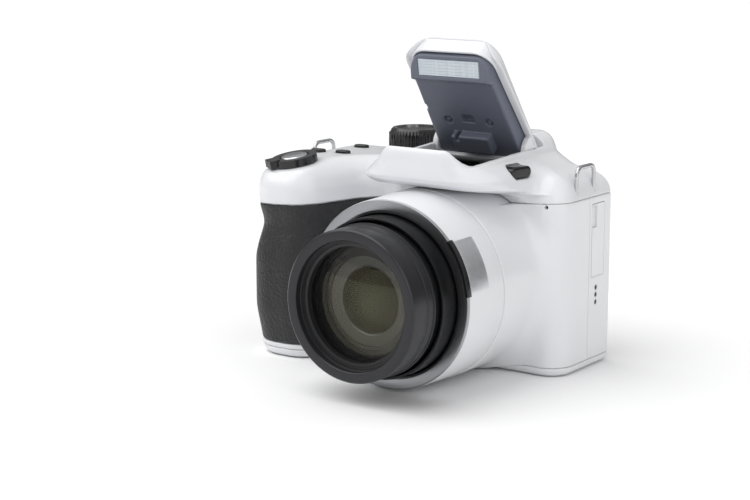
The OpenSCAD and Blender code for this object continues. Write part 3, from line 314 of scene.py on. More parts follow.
# Look of each material, with its darker and paler tone and its roughness where several share a look
FINISHES = {
    "moulded white ABS": (moulded_abs,),
    "pebbled rubber": (pebbled_rubber,),
    "polished black ABS": (gloss_black,),
    "matt black polycarbonate": (matt_black,),
    "black barrel paint": (painted_barrel, "#101011", "#1c1c1e", 0.3),
    "satin barrel paint": (painted_barrel, "#2d2d30", "#39393c", 0.3),
    "grey cell paint": (painted_barrel, "#434341", "#4e4e4b", 0.4),
    "spun aluminium": (spun_aluminium,),
    "bright chrome plate": (bare_metal, "#dcdde2", "#efeff3", 0.3),
    "nickel plate": (bare_metal, "#bfc0c3", "#dadbdd", 0.16),
    "polished steel": (bare_metal, "#c3c4c7", "#d8d9db", 0.14),
    "reflector foil": (bare_metal, "#c8c9cc", "#e6e6e8", 0.2),
    "drawn steel wire": (bare_metal, "#b4b5b8", "#d2d3d5", 0.22),
    "zinc-plated steel": (bare_metal, "#8d8f92", "#b3b4b6", 0.32),
    "turned brass": (bare_metal, "#a98c4a", "#cdb06a", 0.28),
    "blue-grey polycarbonate": (satin_plastic, "#5b606d", "#6a6f7d", 0.42),
    "grey ABS": (satin_plastic, "#3a3b3f", "#46474b", 0.3),
    "green board lacquer": (satin_plastic, "#12452a", "#1b5a38", 0.35),
    "shrunk battery film": (satin_plastic, "#2f3136", "#3d3f45", 0.38),
    "coated optical glass": (coated_glass,),
    "deep coated glass": (deep_glass,),
    "ribbed acrylic": (prism_window,),
    "display cover glass": (display_glass,),
    "painted board": (painted_board,),
}


def finish(name):
    """Material of that name, made the first time that it is asked for."""
    material = bpy.data.materials.get(name)
    if material is None:
        material = bpy.data.materials.new(name)
        material.use_nodes = True
        tree = material.node_tree
        tree.nodes.clear()
        place = add(tree, "TexCoord").outputs["Object"]
        look, *values = FINISHES[name]
        shader = add(tree, "BsdfPrincipled", look(tree, place, *values))
        add(tree, "OutputMaterial", {"Surface": shader})
    return material


# Moulded forms as distance fields in millimetres, negative inside the form

class Block:
    """Box of space sampled on a regular grid."""

    def __init__(self, low, high, pitch):
        counts = [int(math.ceil((b - a) / pitch)) + 1 for a, b in zip(low, high)]
        axes = [(a + pitch * np.arange(n)).astype(np.float32) for a, n in zip(low, counts)]
        self.low, self.pitch = low, pitch
        self.x = axes[0][:, None, None]
        self.y = axes[1][None, :, None]
        self.z = axes[2][None, None, :]


def common(*fields):
    """Space that lies inside every field."""
    return functools.reduce(np.maximum, fields)


def either(*fields):
    """Space that lies inside any of the fields."""
    return functools.reduce(np.minimum, fields)


def join(a, b, width):
    """Union of two fields with a blend of that width."""
    h = np.clip(0.5 + 0.5 * (b - a) / width, 0, 1)
    return b + (a - b) * h - width * h * (1 - h)


def meet(a, b, width):
    """Intersection of two fields with a rounded edge."""
    return -join(-a, -b, width)


def cut(a, b, width):
    """First field less the second, with a rounded edge."""
    return -join(-a, b, width)


def rounded_points(corners, steps=20):
    """Points of an anticlockwise outline of (x, y, radius) corners; an inward corner gets a fillet."""
    points = []
    for i, (x, y, radius) in enumerate(corners):
        corner = np.array([x, y], float)
        u = corner - np.array(corners[i - 1][:2], float)
        v = np.array(corners[(i + 1) % len(corners)][:2], float) - corner
        u, v = u / np.linalg.norm(u), v / np.linalg.norm(v)
        turn = math.atan2(u[0] * v[1] - u[1] * v[0], u @ v)
        arm = math.copysign(radius, turn) * np.array([u[1], -u[0]])
        middle = corner - radius * math.tan(abs(turn) / 2) * u - arm
        for k in range(steps + 1):
            c, s = math.cos(turn * k / steps), math.sin(turn * k / steps)
            points.append(middle + [arm[0] * c - arm[1] * s, arm[0] * s + arm[1] * c])
    return np.array(points)


def polygon_field(a, b, points):
    """Signed distance to a closed polygon over the plane of two grid axes."""
    a, b = np.broadcast_arrays(a, b)
    best = np.full(a.shape, 1e9, np.float32)
    inside = np.zeros(a.shape, bool)
    for p, q in zip(points, np.roll(points, -1, axis=0)):
        d = q - p
        length = d @ d
        if length < 1e-12:
            continue
        t = np.clip(((a - p[0]) * d[0] + (b - p[1]) * d[1]) / length, 0, 1)
        best = np.minimum(best, (a - p[0] - t * d[0]) ** 2 + (b - p[1] - t * d[1]) ** 2)
        if p[1] != q[1]:
            crosses = (p[1] > b) != (q[1] > b)
            inside ^= crosses & (a < (q[0] - p[0]) * (b - p[1]) / (q[1] - p[1]) + p[0])
    return np.where(inside, -1, 1).astype(np.float32) * np.sqrt(best)


def capped(side, rise, radius):
    """Space inside two fields that meet squarely, with a rounded edge between them."""
    a, b = side + radius, rise + radius
    return np.minimum(np.maximum(a, b), 0) + np.hypot(np.maximum(a, 0), np.maximum(b, 0)) - radius


def box_plan(x, y, half, front, rear, front_radius, rear_radius):
    """Rounded rectangle, symmetric in x, with its own corner radii front and rear."""
    middle = (front + rear) / 2
    radius = np.where(y < middle, front_radius, rear_radius)
    return capped(np.abs(x) - half, np.abs(y - middle) - (rear - front) / 2, radius)


def brick(block, low, high, radius):
    """Box with rounded edges."""
    axes = zip((block.x, block.y, block.z), low, high)
    q = [np.abs(c - (a + b) / 2) - (b - a) / 2 + radius for c, a, b in axes]
    outside = np.sqrt(sum(np.maximum(c, 0) ** 2 for c in q))
    return np.minimum(common(*q), 0) + outside - radius


def pill(a, b, length, width):
    """Bar with round ends in a plane."""
    return np.hypot(np.maximum(np.abs(a) - (length - width) / 2, 0), b) - width / 2


def true_distance(field, pitch):
    """Scales a field so that it grows by one millimetre a millimetre near its surface."""
    slope = np.sqrt(sum(g * g for g in np.gradient(field, pitch)))
    return field / np.maximum(slope, 0.5)


def local(block, origin, axes):
    """Grid coordinates in a tilted frame."""
    d = (block.x - origin[0], block.y - origin[1], block.z - origin[2])
    return [d[0] * a[0] + d[1] * a[1] + d[2] * a[2] for a in axes]


def shutter_axes():
    """Three unit vectors of the shutter's seat; the last is its outward normal."""
    ca, sa = math.cos(SHUTTER_TILT), math.sin(SHUTTER_TILT)
    cb, sb = math.cos(SHUTTER_LEAN), math.sin(SHUTTER_LEAN)
    return (cb, 0, -sb), (sb * sa, ca, cb * sa), (sb * ca, -sa, cb * ca)


def release_axes():
    """Three unit vectors of the flash release: along it, up, and outward."""
    c, s = math.cos(RELEASE_TURN), math.sin(RELEASE_TURN)
    return (s, c, 0), (0, 0, 1), (c, -s, 0)


def above_seam(block):
    """Height over the tilted seam under the top cover."""
    return (block.z - SEAM) * math.cos(SEAM_TILT) - block.x * math.sin(SEAM_TILT)


def from_axis(block):
    """Distance from the lens axis."""
    return np.hypot(block.x, block.z - LENS_Z)


def roller(block, radius):
    """Cylinder about the flash hinge."""
    return np.hypot(block.y - HINGE_Y, block.z - HINGE_Z) - radius


def body_corners(waist):
    """Corners of the body's plan as (x, y, radius), with the grip drawn in by the finger waist."""
    left, front = -BODY_LEFT + waist, -GRIP_FRONT + waist
    valley, slope = -BOSS - 4.5, 11
    return [(BODY_RIGHT, -FRONT_WALL, 9), (BODY_RIGHT, BODY_REAR, 2), (left, BODY_REAR, 13),
            (left, front, 12), (valley - slope, front, 12), (valley, -FRONT_WALL, 14)]


def body_field(block):
    """Housing below the hump, with rounded top and bottom edges."""
    levels = np.linspace(0, GRIP_WAIST, 5)
    plans = np.stack([polygon_field(block.x[:, :, 0], block.y[:, :, 0], rounded_points(body_corners(waist)))
                      for waist in levels], axis=-1)
    # Share of the waist's full depth at heights over the base
    heights = [0, 6, 18, 38, 44, 50, 56, 60, 74]
    shares = [0.8, 0.6, 0, 0, 0.45, 1, 0.5, 0.35, 0.3]
    place = np.interp(block.z[0, 0], heights, shares) * (len(levels) - 1)
    # A few passes of smoothing over the height round the kinks of the waist
    for _ in range(40):
        place[1:-1] = (place[:-2] + 2 * place[1:-1] + place[2:]) / 4
    lower = np.clip(place.astype(int), 0, len(levels) - 2)
    share = (place - lower).astype(np.float32)
    side = plans[:, :, lower] * (1 - share) + plans[:, :, lower + 1] * share
    return common(capped(side, block.z - DECK, TOP_ROUND), capped(side, -block.z, BASE_ROUND))


def to_front(block):
    """Share of the way from the hump's rear to the visor's front."""
    return (HUMP_REAR - block.y) / (HUMP_REAR + VISOR_FRONT)


def hump_field(block):
    """Flash hump with its overhanging visor."""
    rise = block.z - DECK
    climb = np.clip(rise - HUMP_RISE + HUMP_ROUND, 0, HUMP_ROUND - 1e-3)
    inset = HUMP_ROUND - np.sqrt(HUMP_ROUND ** 2 - climb ** 2)
    # By height over the deck: the front falls back under the visor, and the flanks spread towards the deck;
    # over the top's rounding the front draws in by a smaller share than the flanks
    setback = np.interp(rise, [-HUMP_ROOT, -5, -4, -3, -2, -0.6, 1], [28, 9.5, 4.8, 2.6, 1.1, 0.1, 0])
    spread = np.interp(rise, [-HUMP_ROOT, -2, -0.6, 1, 4, 6.6, 20], [8.8, 7.4, 6.6, 5, 1, 0.3, 0])
    taper = np.interp(rise, [1, 5], [0, TAPER]) * to_front(block)
    nose = np.interp(rise, [1, 4], [15, NOSE])
    half, front = HUMP_HALF + spread - taper - inset, -VISOR_FRONT + setback + FRONT_INSET * inset
    field = box_plan(block.x, block.y, half, front, HUMP_REAR - inset, np.maximum(nose - inset, 1),
                     np.maximum(HUMP_CORNER - inset, 1))
    field = common(field, block.z - HUMP_TOP, DECK - HUMP_ROOT - block.z).astype(np.float32)
    return true_distance(field, block.pitch)


def well(block, inset, front=VISOR_T, corner=NOSE - WALL):
    """Plan of the flash well, narrower towards the front."""
    half = WELL_HALF - WELL_TAPER * (WELL_REAR - block.y) / (WELL_REAR + VISOR_FRONT - front)
    return box_plan(block.x, block.y, half - inset, -(VISOR_FRONT - front) + inset, WELL_REAR - inset,
                    corner - inset, max(2 - inset, 0.3))


def above_parting(block, lift):
    """Space over the line where the flash lid parts from the hump, without the visor's tongue."""
    plane = ((block.z - PART_LOW - lift) * math.cos(PART_TILT)
             - (block.y + VISOR_FRONT) * math.sin(PART_TILT))
    t = np.clip((PART_OUT - np.abs(block.x)) / (PART_OUT - PART_IN), 0, 1)
    line = PART_LOW + (PART_HIGH - PART_LOW) * t * t * (3 - 2 * t)
    half = HUMP_HALF + 0.5 - VISOR_T - TAPER * to_front(block)
    inside = box_plan(block.x, block.y, half, VISOR_T - VISOR_FRONT, HUMP_REAR, NOSE - VISOR_T, 6)
    # The height over the S-shaped line is scaled because the line climbs
    tongue = common(-inside - lift, block.y + VISOR_FRONT - TONGUE, (block.z - line - lift) * 0.85)
    return common(-plane, -tongue)


def flash_space(block):
    """Room in the top cover for the flash head and its tray."""
    behind, rise = block.y - HINGE_Y, block.z - HINGE_Z
    bore = roller(block, HUB + RUN)
    across = np.abs(block.x) - HUB_HALF - RUN
    swing = common(above_parting(block, -RUN / 2), either(behind, bore))
    upper = common(well(block, 0), DECK - 0.6 - block.z, rise)
    lower = common(well(block, 0, SILL, 4), WELL_FLOOR - block.z, rise)
    mouth = common(well(block, 0), behind, np.abs(block.z - PART_LOW - 2) - 2.5)
    # Room for the root of the raised lid, along the lid and over it
    c, s = math.cos(FLASH_ANGLE), math.sin(FLASH_ANGLE)
    along, over = -behind * c + rise * s, behind * s + rise * c
    lid = common(-along, along - 12, np.abs(over - 3) - 3.3, across)
    return either(swing, common(bore, across), upper, lower, mouth, lid)


def rubber_region(block, gap):
    """Where the rubber skin lies on the grip."""
    beside_boss, over_base, round_boss = 1.5, 2, 3.5
    ring = BOSS + round_boss + gap - from_axis(block)
    return common(block.x + BOSS + beside_boss + gap, block.y - SEAM_Y + gap,
                  BASE + over_base + gap - block.z, above_seam(block) + GAP + gap,
                  np.where(block.y < 0, ring, -1e3))


def deck_openings(block, seat):
    """Openings of the top cover, one after the other; seat holds the coordinates on the shutter's seat."""
    yield common(from_axis(block) - BOSS - GAP, block.y + FRONT_WALL - 4 * WALL)
    yield flash_space(block)
    yield common(np.hypot(block.x - DIAL[0], block.y - DIAL[1]) - DIAL_R - DIAL_ROOM, DECK - GAP - block.z)
    for x, y in DECK_BUTTONS.values():
        yield pill(block.x - x, block.y - y, DECK_KEY[0] + KEY_ROOM, DECK_KEY[1] + KEY_ROOM)
    yield common(np.hypot(seat[0], seat[1]) - SHUTTER_KEY / 2 - RUN, -WALL - seat[2])
    along, up, outward = local(block, RELEASE, release_axes())
    yield common(pill(along, up, RELEASE_KEY[0] + KEY_ROOM, RELEASE_KEY[1] + KEY_ROOM),
                 -RELEASE_DEPTH - outward)


def port_brick(block, depth, reach, margin, radius):
    """Box over the side port, from a depth inside the flank to a reach past it."""
    return brick(block, (BODY_RIGHT - depth, PORT_Y[0] - margin, PORT_Z[0] - margin),
                 (BODY_RIGHT + reach, PORT_Y[1] + margin, PORT_Z[1] + margin), radius)


@functools.lru_cache(maxsize=1)
def housing_fields(pitch):
    """Block of space, and the body in it with the shutter's sloped seat; the moulded covers share them."""
    block = Block((-79, -49, -2), (44, 25, 88), pitch)
    return block, meet(body_field(block), local(block, SHUTTER, shutter_axes())[2], SEAT_ROUND)


def moulding(context):
    """Block, body field and edge rounding that a moulded cover starts from."""
    props = context.scene.camera_form
    block, body = housing_fields(props.pitch / MM * (1))
    return block, body, props.edge / MM


def placed(name, data):
    """Object of that data, linked into the scene."""
    obj = bpy.data.objects.new(name, data)
    bpy.context.scene.collection.objects.link(obj)
    return obj


def sample(field, block, points):
    """Field values at points, by linear interpolation."""
    p = (points - np.array(block.low)) / block.pitch
    i = np.clip(np.floor(p).astype(int), 0, np.array(field.shape) - 2)
    f = (p - i).astype(np.float32)
    total = 0
    for dx, dy, dz in np.ndindex(2, 2, 2):
        weight = np.abs(1 - dx - f[:, 0]) * np.abs(1 - dy - f[:, 1]) * np.abs(1 - dz - f[:, 2])
        total = total + weight * field[i[:, 0] + dx, i[:, 1] + dy, i[:, 2] + dz]
    return total


def skin(name, block, field, turn=None):
    """Smooth mesh object on a field's zero surface; turn moves its points, in millimetres."""
    field = np.broadcast_to(field, (block.x.size, block.y.size, block.z.size))
    field = np.ascontiguousarray(field, np.float32)
    limit, flatness = 3 * block.pitch, 0.004
    grid = openvdb.FloatGrid(limit)
    grid.copyFromArray(np.clip(field, -limit, limit))
    points, triangles, quads = grid.convertToPolygons(0.0, flatness)
    points = np.asarray(points, float) * block.pitch + np.array(block.low)
    normals = np.stack([sample(field, block, points + step) - sample(field, block, points - step)
                        for step in np.eye(3) * block.pitch * 0.7], axis=1)
    normals /= np.maximum(np.linalg.norm(normals, axis=1), 1e-9)[:, None]
    faces = [tuple(f) for f in np.asarray(triangles).tolist() + np.asarray(quads).tolist()]
    # One face in the middle of the list shows whether they all run the wrong way round
    a, b, c = faces[len(faces) // 2][:3]
    if np.cross(points[b] - points[a], points[c] - points[a]) @ normals[a] < 0:
        faces = [f[::-1] for f in faces]
    if turn:
        points, normals = turn(points), turn(normals, True)
    mesh = bpy.data.meshes.new(name)
    mesh.from_pydata((points * MM).tolist(), [], faces)
    mesh.shade_smooth()
    mesh.normals_split_custom_set_from_vertices(normals.tolist())
    return placed(name, mesh)


def opened(points, direction=False):
    """Turns points of the shut flash head, or directions on it, to its open rest place."""
    hinge = np.array([0, 0 if direction else HINGE_Y, 0 if direction else HINGE_Z])
    p = points - hinge
    c, s = math.cos(FLASH_ANGLE), math.sin(FLASH_ANGLE)
    return np.stack([p[:, 0], p[:, 1] * c + p[:, 2] * s, -p[:, 1] * s + p[:, 2] * c], axis=1) + hinge


# Turned and lofted pieces

def mesh_object(name, points, faces, angle=35):
    """Closed object from points in millimetres, facing out, smooth but for edges sharper than the angle."""
    mesh = bpy.data.meshes.new(name)
    mesh.from_pydata([tuple(c * MM for c in p) for p in points], [], faces)
    mesh.validate()
    mesh.shade_smooth()
    mesh.set_sharp_from_angle(angle=math.radians(angle))
    work = bmesh.new()
    work.from_mesh(mesh)
    bmesh.ops.recalc_face_normals(work, faces=work.faces)
    work.to_mesh(mesh)
    work.free()
    return placed(name, mesh)


def eased(profile, radius, steps=3):
    """Closed profile with its corners rounded."""
    out = []
    for i, p in enumerate(profile):
        p = Vector(p)
        u, v = Vector(profile[i - 1]) - p, Vector(profile[(i + 1) % len(profile)]) - p
        reach = min(radius, u.length * 0.45, v.length * 0.45)
        start, end = p + u.normalized() * reach, p + v.normalized() * reach
        for k in range(steps + 1):
            t = k / steps
            out.append(tuple(start * (1 - t) ** 2 + p * 2 * t * (1 - t) + end * t * t))
    return out


def lathe(name, profile, radius, count=160, span=(0, 360)):
    """Piece turned about the lens axis from (radius, forward reach) points, over a span of degrees."""
    ring = eased(profile, radius)
    m = len(ring)
    full = span[1] - span[0] >= 360
    rows = count if full else count + 1
    points, faces = [], []
    for i in range(rows):
        a = math.radians(span[0] + (span[1] - span[0]) * i / count)
        points += [(r * math.cos(a), -f, LENS_Z + r * math.sin(a)) for r, f in ring]
    for i in range(count):
        j = (i + 1) % rows
        faces += [(i * m + k, j * m + k, j * m + (k + 1) % m, i * m + (k + 1) % m) for k in range(m)]
    if not full:
        faces += [tuple(range(m)), tuple(count * m + k for k in reversed(range(m)))]
    return mesh_object(name, points, faces)


def dome(rim, face, curve, count):
    """(radius, forward reach) points of a spherical lens face, from near its middle to its rim."""
    rows = [rim * k / count for k in range(1, count + 1)]
    return [(r, face - curve + math.sqrt(curve ** 2 - r * r)) for r in rows]


def lens_element(name, face, outer, inner, back, count=128):
    """Solid glass element about the lens axis, with a point in the middle of each face."""
    rows = outer + inner
    m = len(rows)
    points = [(0, -face, LENS_Z), (0, -back, LENS_Z)]
    for i in range(count):
        a = 2 * math.pi * i / count
        points += [(r * math.cos(a), -f, LENS_Z + r * math.sin(a)) for r, f in rows]
    faces = []
    for i in range(count):
        a, b = 2 + i * m, 2 + (i + 1) % count * m
        faces += [(0, a, b), (1, b + m - 1, a + m - 1)]
        faces += [(a + k, a + k + 1, b + k + 1, b + k) for k in range(m - 1)]
    return mesh_object(name, points, faces, 40)


def stacked(name, loops, angle=35):
    """Closed piece through a stack of loops with the same number of points, its ends filled."""
    n = len(loops[0])
    last = (len(loops) - 1) * n
    faces = []
    for i in range(0, last, n):
        faces += [(i + k, i + (k + 1) % n, i + n + (k + 1) % n, i + n + k) for k in range(n)]
    faces += [tuple(reversed(range(n))), tuple(range(last, last + n))]
    return mesh_object(name, [p for loop in loops for p in loop], faces, angle)


def oval(length, width, count=48):
    """Points round a bar with round ends."""
    side = (length - width) / 2
    turns = [2 * math.pi * k / count for k in range(count)]
    return [(math.cos(a) * width / 2 + math.copysign(side, math.cos(a)), math.sin(a) * width / 2)
            for a in turns]


def cap(name, outline, levels, origin, axes):
    """Button-like loft: each level is a (height, inset) pair over the outline, from origin along axes[2]."""
    reach = max(math.hypot(*p) for p in outline)
    loops = []
    for height, inset in levels:
        k = 1 - inset / reach
        loops.append([tuple(o + u * k * a + v * k * b + height * c for o, a, b, c in zip(origin, *axes))
                      for u, v in outline])
    return stacked(name, loops)


def crown(height, round_over, dome_rise, base):
    """Levels of a button: straight side from its base, rounded edge and a slightly domed face."""
    rows = [(base, 0)]
    for k in range(6):
        a = math.pi / 2 * k / 5
        rows.append((height - round_over + round_over * math.sin(a), round_over * (1 - math.cos(a))))
    for k in (0.25, 0.5, 0.75):
        rows.append((height + dome_rise * (1 - (1 - k) ** 2), round_over + 2 * k))
    return rows


UPRIGHT = ((1, 0, 0), (0, 1, 0), (0, 0, 1))
REARWARD = ((-1, 0, 0), (0, 0, 1), (0, 1, 0))
RIGHTWARD = ((0, 1, 0), (0, 0, 1), (1, 0, 0))


def dress(obj, material, body, slot, *nodes):
    """Gives a piece its material, its body and the solids that it stands for."""
    obj.data.materials.clear()
    obj.data.materials.append(finish(material))
    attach(obj, body)
    if nodes:
        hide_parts(*nodes)


def paint(material, *nodes):
    """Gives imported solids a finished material."""
    for name in nodes:
        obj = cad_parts[name]
        if not obj.material_slots:
            obj.data.materials.append(finish(material))
        for entry in obj.material_slots:
            entry.link = "OBJECT"
            entry.material = finish(material)


# Operators

class CAMERA_OT_top_cover(bpy.types.Operator):
    """Top cover with the flash hump, its visor and the seats of the controls"""
    bl_idname = "camera_part.top_cover"
    bl_label = "Top cover"

    def execute(self, context):
        block, body, edge = moulding(context)
        seat = local(block, SHUTTER, shutter_axes())
        form = join(body, hump_field(block), context.scene.camera_form.fillet / MM)
        form = meet(form, LINE - above_seam(block), edge / 2)
        form = common(form, -common(body + WALL, seat[2] + WALL))
        for opening in deck_openings(block, seat):
            form = cut(form, opening, edge)
        dress(skin("top_cover_shell", block, form), "moulded white ABS", "body", "white_abs", "top_cover")
        return {"FINISHED"}


class CAMERA_OT_front_shell(bpy.types.Operator):
    """Front shell with the lens boss"""
    bl_idname = "camera_part.front_shell"
    bl_label = "Front shell"

    def execute(self, context):
        block, body, edge = moulding(context)
        y, z = block.y, block.z
        radial = from_axis(block)
        seam = above_seam(block) + LINE
        base = BASE + LINE - z
        sunk = common(rubber_region(block, 0), -(body + RUBBER + RUBBER_PLAY))
        form = meet(body, common(seam, y - SEAM_Y + LINE, base), edge / 2)
        form = common(form, -sunk, -(body + WALL))
        front = -y - BARREL_SEAM + GAP
        tube = meet(common(radial - BOSS, front, y + FRONT_WALL - WALL), front, edge)
        form = join(form, tube, BOSS_FILLET)
        # The blend is trimmed where it would spread over the seams, the bore, the floor or the rubber's seat
        form = common(form, either(seam, radial - BOSS), BOSS_IN - radial, BOSS_FOOT - z,
                      either(base, y + FRONT_WALL), -sunk)
        mic = np.hypot(block.x - MIC[0], z - MIC[1]) - MIC_HOLE / 2
        form = cut(form, common(mic, y + FRONT_WALL - MIC_DEPTH), edge / 2)
        dress(skin("front_shell_moulding", block, form), "moulded white ABS", "body", "white_abs",
              "front_shell")
        return {"FINISHED"}


class CAMERA_OT_rear_cover(bpy.types.Operator):
    """Rear cover with the openings for display, buttons, ports and speaker"""
    bl_idname = "camera_part.rear_cover"
    bl_label = "Rear cover"

    def execute(self, context):
        block, body, edge = moulding(context)
        x, y, z = block.x, block.y, block.z
        form = meet(body, common(SEAM_Y + LINE - y, BASE + LINE - z, above_seam(block) + LINE), edge / 2)
        form = common(form, -(body + WALL))
        # Port: a box behind the flank, the cover's seat, the recess and the socket's opening
        form = either(form, common(port_brick(block, 5, -1.6, PORT_RIM, 0.4), body))
        form = cut(form, port_brick(block, 1.7, 3, PORT_PLAY, 0.1), edge / 2)
        form = cut(form, port_brick(block, 3.8, 3, -PORT_RIM, 0.3), edge / 2)
        socket = brick(block, (BODY_RIGHT - 8, SOCKET_Y[0], SOCKET_Z[0]),
                       (BODY_RIGHT, SOCKET_Y[1], SOCKET_Z[1]), 0.2)
        form = cut(form, socket, edge / 2)
        display = brick(block, (DISPLAY_X[0] - DISPLAY_PLAY, BODY_REAR - 5, DISPLAY_Z[0] - DISPLAY_PLAY),
                        (DISPLAY_X[1] + DISPLAY_PLAY, BODY_REAR + 5, DISPLAY_Z[1] + DISPLAY_PLAY), 0.2)
        form = cut(form, display, edge)
        for at, hole in [(NAV, NAV_HOLE)] + [(at, REAR_HOLE) for at in REAR_BUTTONS.values()]:
            opening = common(np.hypot(x - at[0], z - at[1]) - hole / 2, BODY_REAR - HOLE_DEPTH - y)
            form = cut(form, opening, edge)
        for k in (-1, 0, 1):
            row = SPEAKER[1] + SPEAKER_PITCH * k
            hole = np.hypot(y - SPEAKER[0], z - row) - SPEAKER_HOLE / 2
            form = cut(form, common(hole, BODY_RIGHT - HOLE_DEPTH - x), edge / 2)
            cloth = cap("speaker_cloth_%d" % (k + 2), oval(CLOTH, CLOTH, 24), [(-1.2, 0), (-0.25, 0)],
                        (BODY_RIGHT, SPEAKER[0], row), RIGHTWARD)
            dress(cloth, "matt black polycarbonate", "body", "black_matte")
        dress(skin("rear_cover_moulding", block, form), "moulded white ABS", "body", "white_abs",
              "rear_cover")
        return {"FINISHED"}


class CAMERA_OT_base(bpy.types.Operator):
    """Base plate and battery door"""
    bl_idname = "camera_part.base"
    bl_label = "Base"

    def execute(self, context):
        block, body, edge = moulding(context)
        x, y, z = block.x, block.y, block.z
        slab = meet(body, z - BASE + LINE, edge / 2)
        plate = cut(slab, common(x - DOOR_X - DOOR_PIN_Z - RUN, y - DOOR_REAR), edge / 2)
        lug = brick(block, (DOOR_X - DOOR_PIN_Z, LUG_Y[0], RUN), (DOOR_X + 3, LUG_Y[1], BASE - RUN), 0.2)
        plate = cut(either(plate, lug), np.hypot(x, y) - TRIPOD_HOLE / 2, edge / 2)
        for at in SCREWS:
            hole = common(np.hypot(x - at[0], y - at[1]) - SCREW_HOLE / 2, z - SCREW_DEPTH)
            plate = cut(plate, hole, edge / 2)
        dress(skin("base_plate_moulding", block, plate), "moulded white ABS", "body", "white_abs",
              "base_plate")

        rear = y - DOOR_REAR + RUN
        knuckle = common(np.hypot(x - DOOR_X, z - DOOR_PIN_Z) - KNUCKLE, rear, KNUCKLE_FRONT - y)
        door = either(common(slab, x - DOOR_X, rear), knuckle)
        lug_room = brick(block, (DOOR_X - DOOR_PIN_Z - RUN, LUG_Y[0] - RUN, -2),
                         (DOOR_X + 9, LUG_Y[1] + RUN, 9), 0.1)
        latch = brick(block, (LATCH_X[0], LATCH_Y[0], -2), (LATCH_X[1], LATCH_Y[1], LATCH_DEPTH), 0.2)
        door = cut(cut(door, lug_room, edge / 2), latch, edge / 2)
        dress(skin("battery_door_moulding", block, door), "moulded white ABS", "battery_door", "white_abs",
              "battery_door")
        return {"FINISHED"}


class CAMERA_OT_grip(bpy.types.Operator):
    """Pebbled rubber skin of the grip"""
    bl_idname = "camera_part.grip"
    bl_label = "Grip skin"

    def execute(self, context):
        block, body, edge = moulding(context)
        form = meet(common(body, -(body + RUBBER)), rubber_region(block, RUBBER_EDGE), edge)
        dress(skin("grip_skin", block, form), "pebbled rubber", "body", "grip_rubber", "grip_rubber")
        return {"FINISHED"}


class CAMERA_OT_flash(bpy.types.Operator):
    """Flash lid, grey housing and its window"""
    bl_idname = "camera_part.flash"
    bl_label = "Flash head"

    def lid(self, block, edge):
        """Field of the white lid, shut, with the room for the grey housing taken out."""
        x, y, z = np.abs(block.x), block.y - HINGE_Y, block.z
        hump = hump_field(block)
        hub = common(roller(block, HUB), x - HUB_HALF)
        span = either(y + 1.5, common(x - HUB_HALF, y), hub)
        form = meet(hump, common(above_parting(block, RUN / 2), span), edge)
        form = either(form, common(hub, hump))
        inset = HEAD_IN - HEAD_PLAY
        form = cut(form, common(well(block, inset), z - HEAD_TOP - HEAD_PLAY, y), edge)
        return common(form, -common(roller(block, HEAD_HUB + HEAD_PLAY), x - WELL_HALF + inset))

    def housing(self, block, edge):
        """Field of the grey housing, shut: a panel underneath, and a leaning brow that holds the window."""
        x, y, z = block.x, block.y, block.z
        panel, brow, tip, low, rise = DECK + 1, -34.0, -42.4, DECK - 1, 4.2
        profile = np.array([(HINGE_Y, panel), (HINGE_Y, HEAD_TOP), (tip, HEAD_TOP), (tip, low + rise),
                            (brow, low), (brow + 2.2, panel)])
        form = meet(polygon_field(y[0], z[0], profile)[None], well(block, HEAD_IN), 1.4)
        form = either(form, common(roller(block, HEAD_HUB), np.abs(x) - WELL_HALF + HEAD_IN))
        arm = brick(block, (-8, -8.5, panel - 3.4), (8, -0.5, panel + 0.8), 0.7)
        arm_notch = brick(block, (-6.3, -9, panel - 5.2), (-4.7, -6.4, panel), 0.3)
        slot = brick(block, (-2.6, -16.5, panel - 2.2), (2.6, -12.8, panel + 1.8), 0.4)
        side_notch = brick(block, (-19, -20, panel - 1.2), (-16, -17.5, panel + 2.8), 0.3)
        form = cut(cut(join(form, arm, 0.5), arm_notch, 0.4), slot, 0.4)
        # Two screw wells, each with a peg in it
        for at in (-8.7, 8.7):
            radius = np.hypot(x - at, y + 13.5)
            form = cut(form, common(radius - 1.7, z - panel - 1), 0.4)
            form = join(form, common(radius - 1.0, np.abs(z - panel - 1.7) - 1.3), 0.3)
        form = cut(form, side_notch, 0.4)
        # Window opening, square to the brow
        lean = math.atan2(rise, brow - tip)
        dy, dz = y - (brow + tip) / 2, z - low - rise / 2
        out = -dy * math.sin(lean) - dz * math.cos(lean)
        along = -dy * math.cos(lean) + dz * math.sin(lean)
        half_width, half_height, depth = 12.8, 3.0, 5.2
        return cut(form, common(np.abs(x) - half_width, np.abs(along) - half_height, -depth - out), edge)

    def execute(self, context):
        edge = context.scene.camera_form.edge / MM
        block = Block((-26, -48, 69), (26, 11, 88), 0.25)
        lid = skin("flash_lid", block, self.lid(block, edge), opened)
        dress(lid, "moulded white ABS", "flash_head", "white_abs", "flash_cover")
        housing = skin("flash_housing_moulding", block, self.housing(block, edge), opened)
        dress(housing, "blue-grey polycarbonate", "flash_head", "flash_grey", "flash_housing")
        paint("ribbed acrylic", "flash_window", "flash_tube")
        paint("reflector foil", "flash_reflector")
        paint("matt black polycarbonate", "flash_tray")
        return {"FINISHED"}


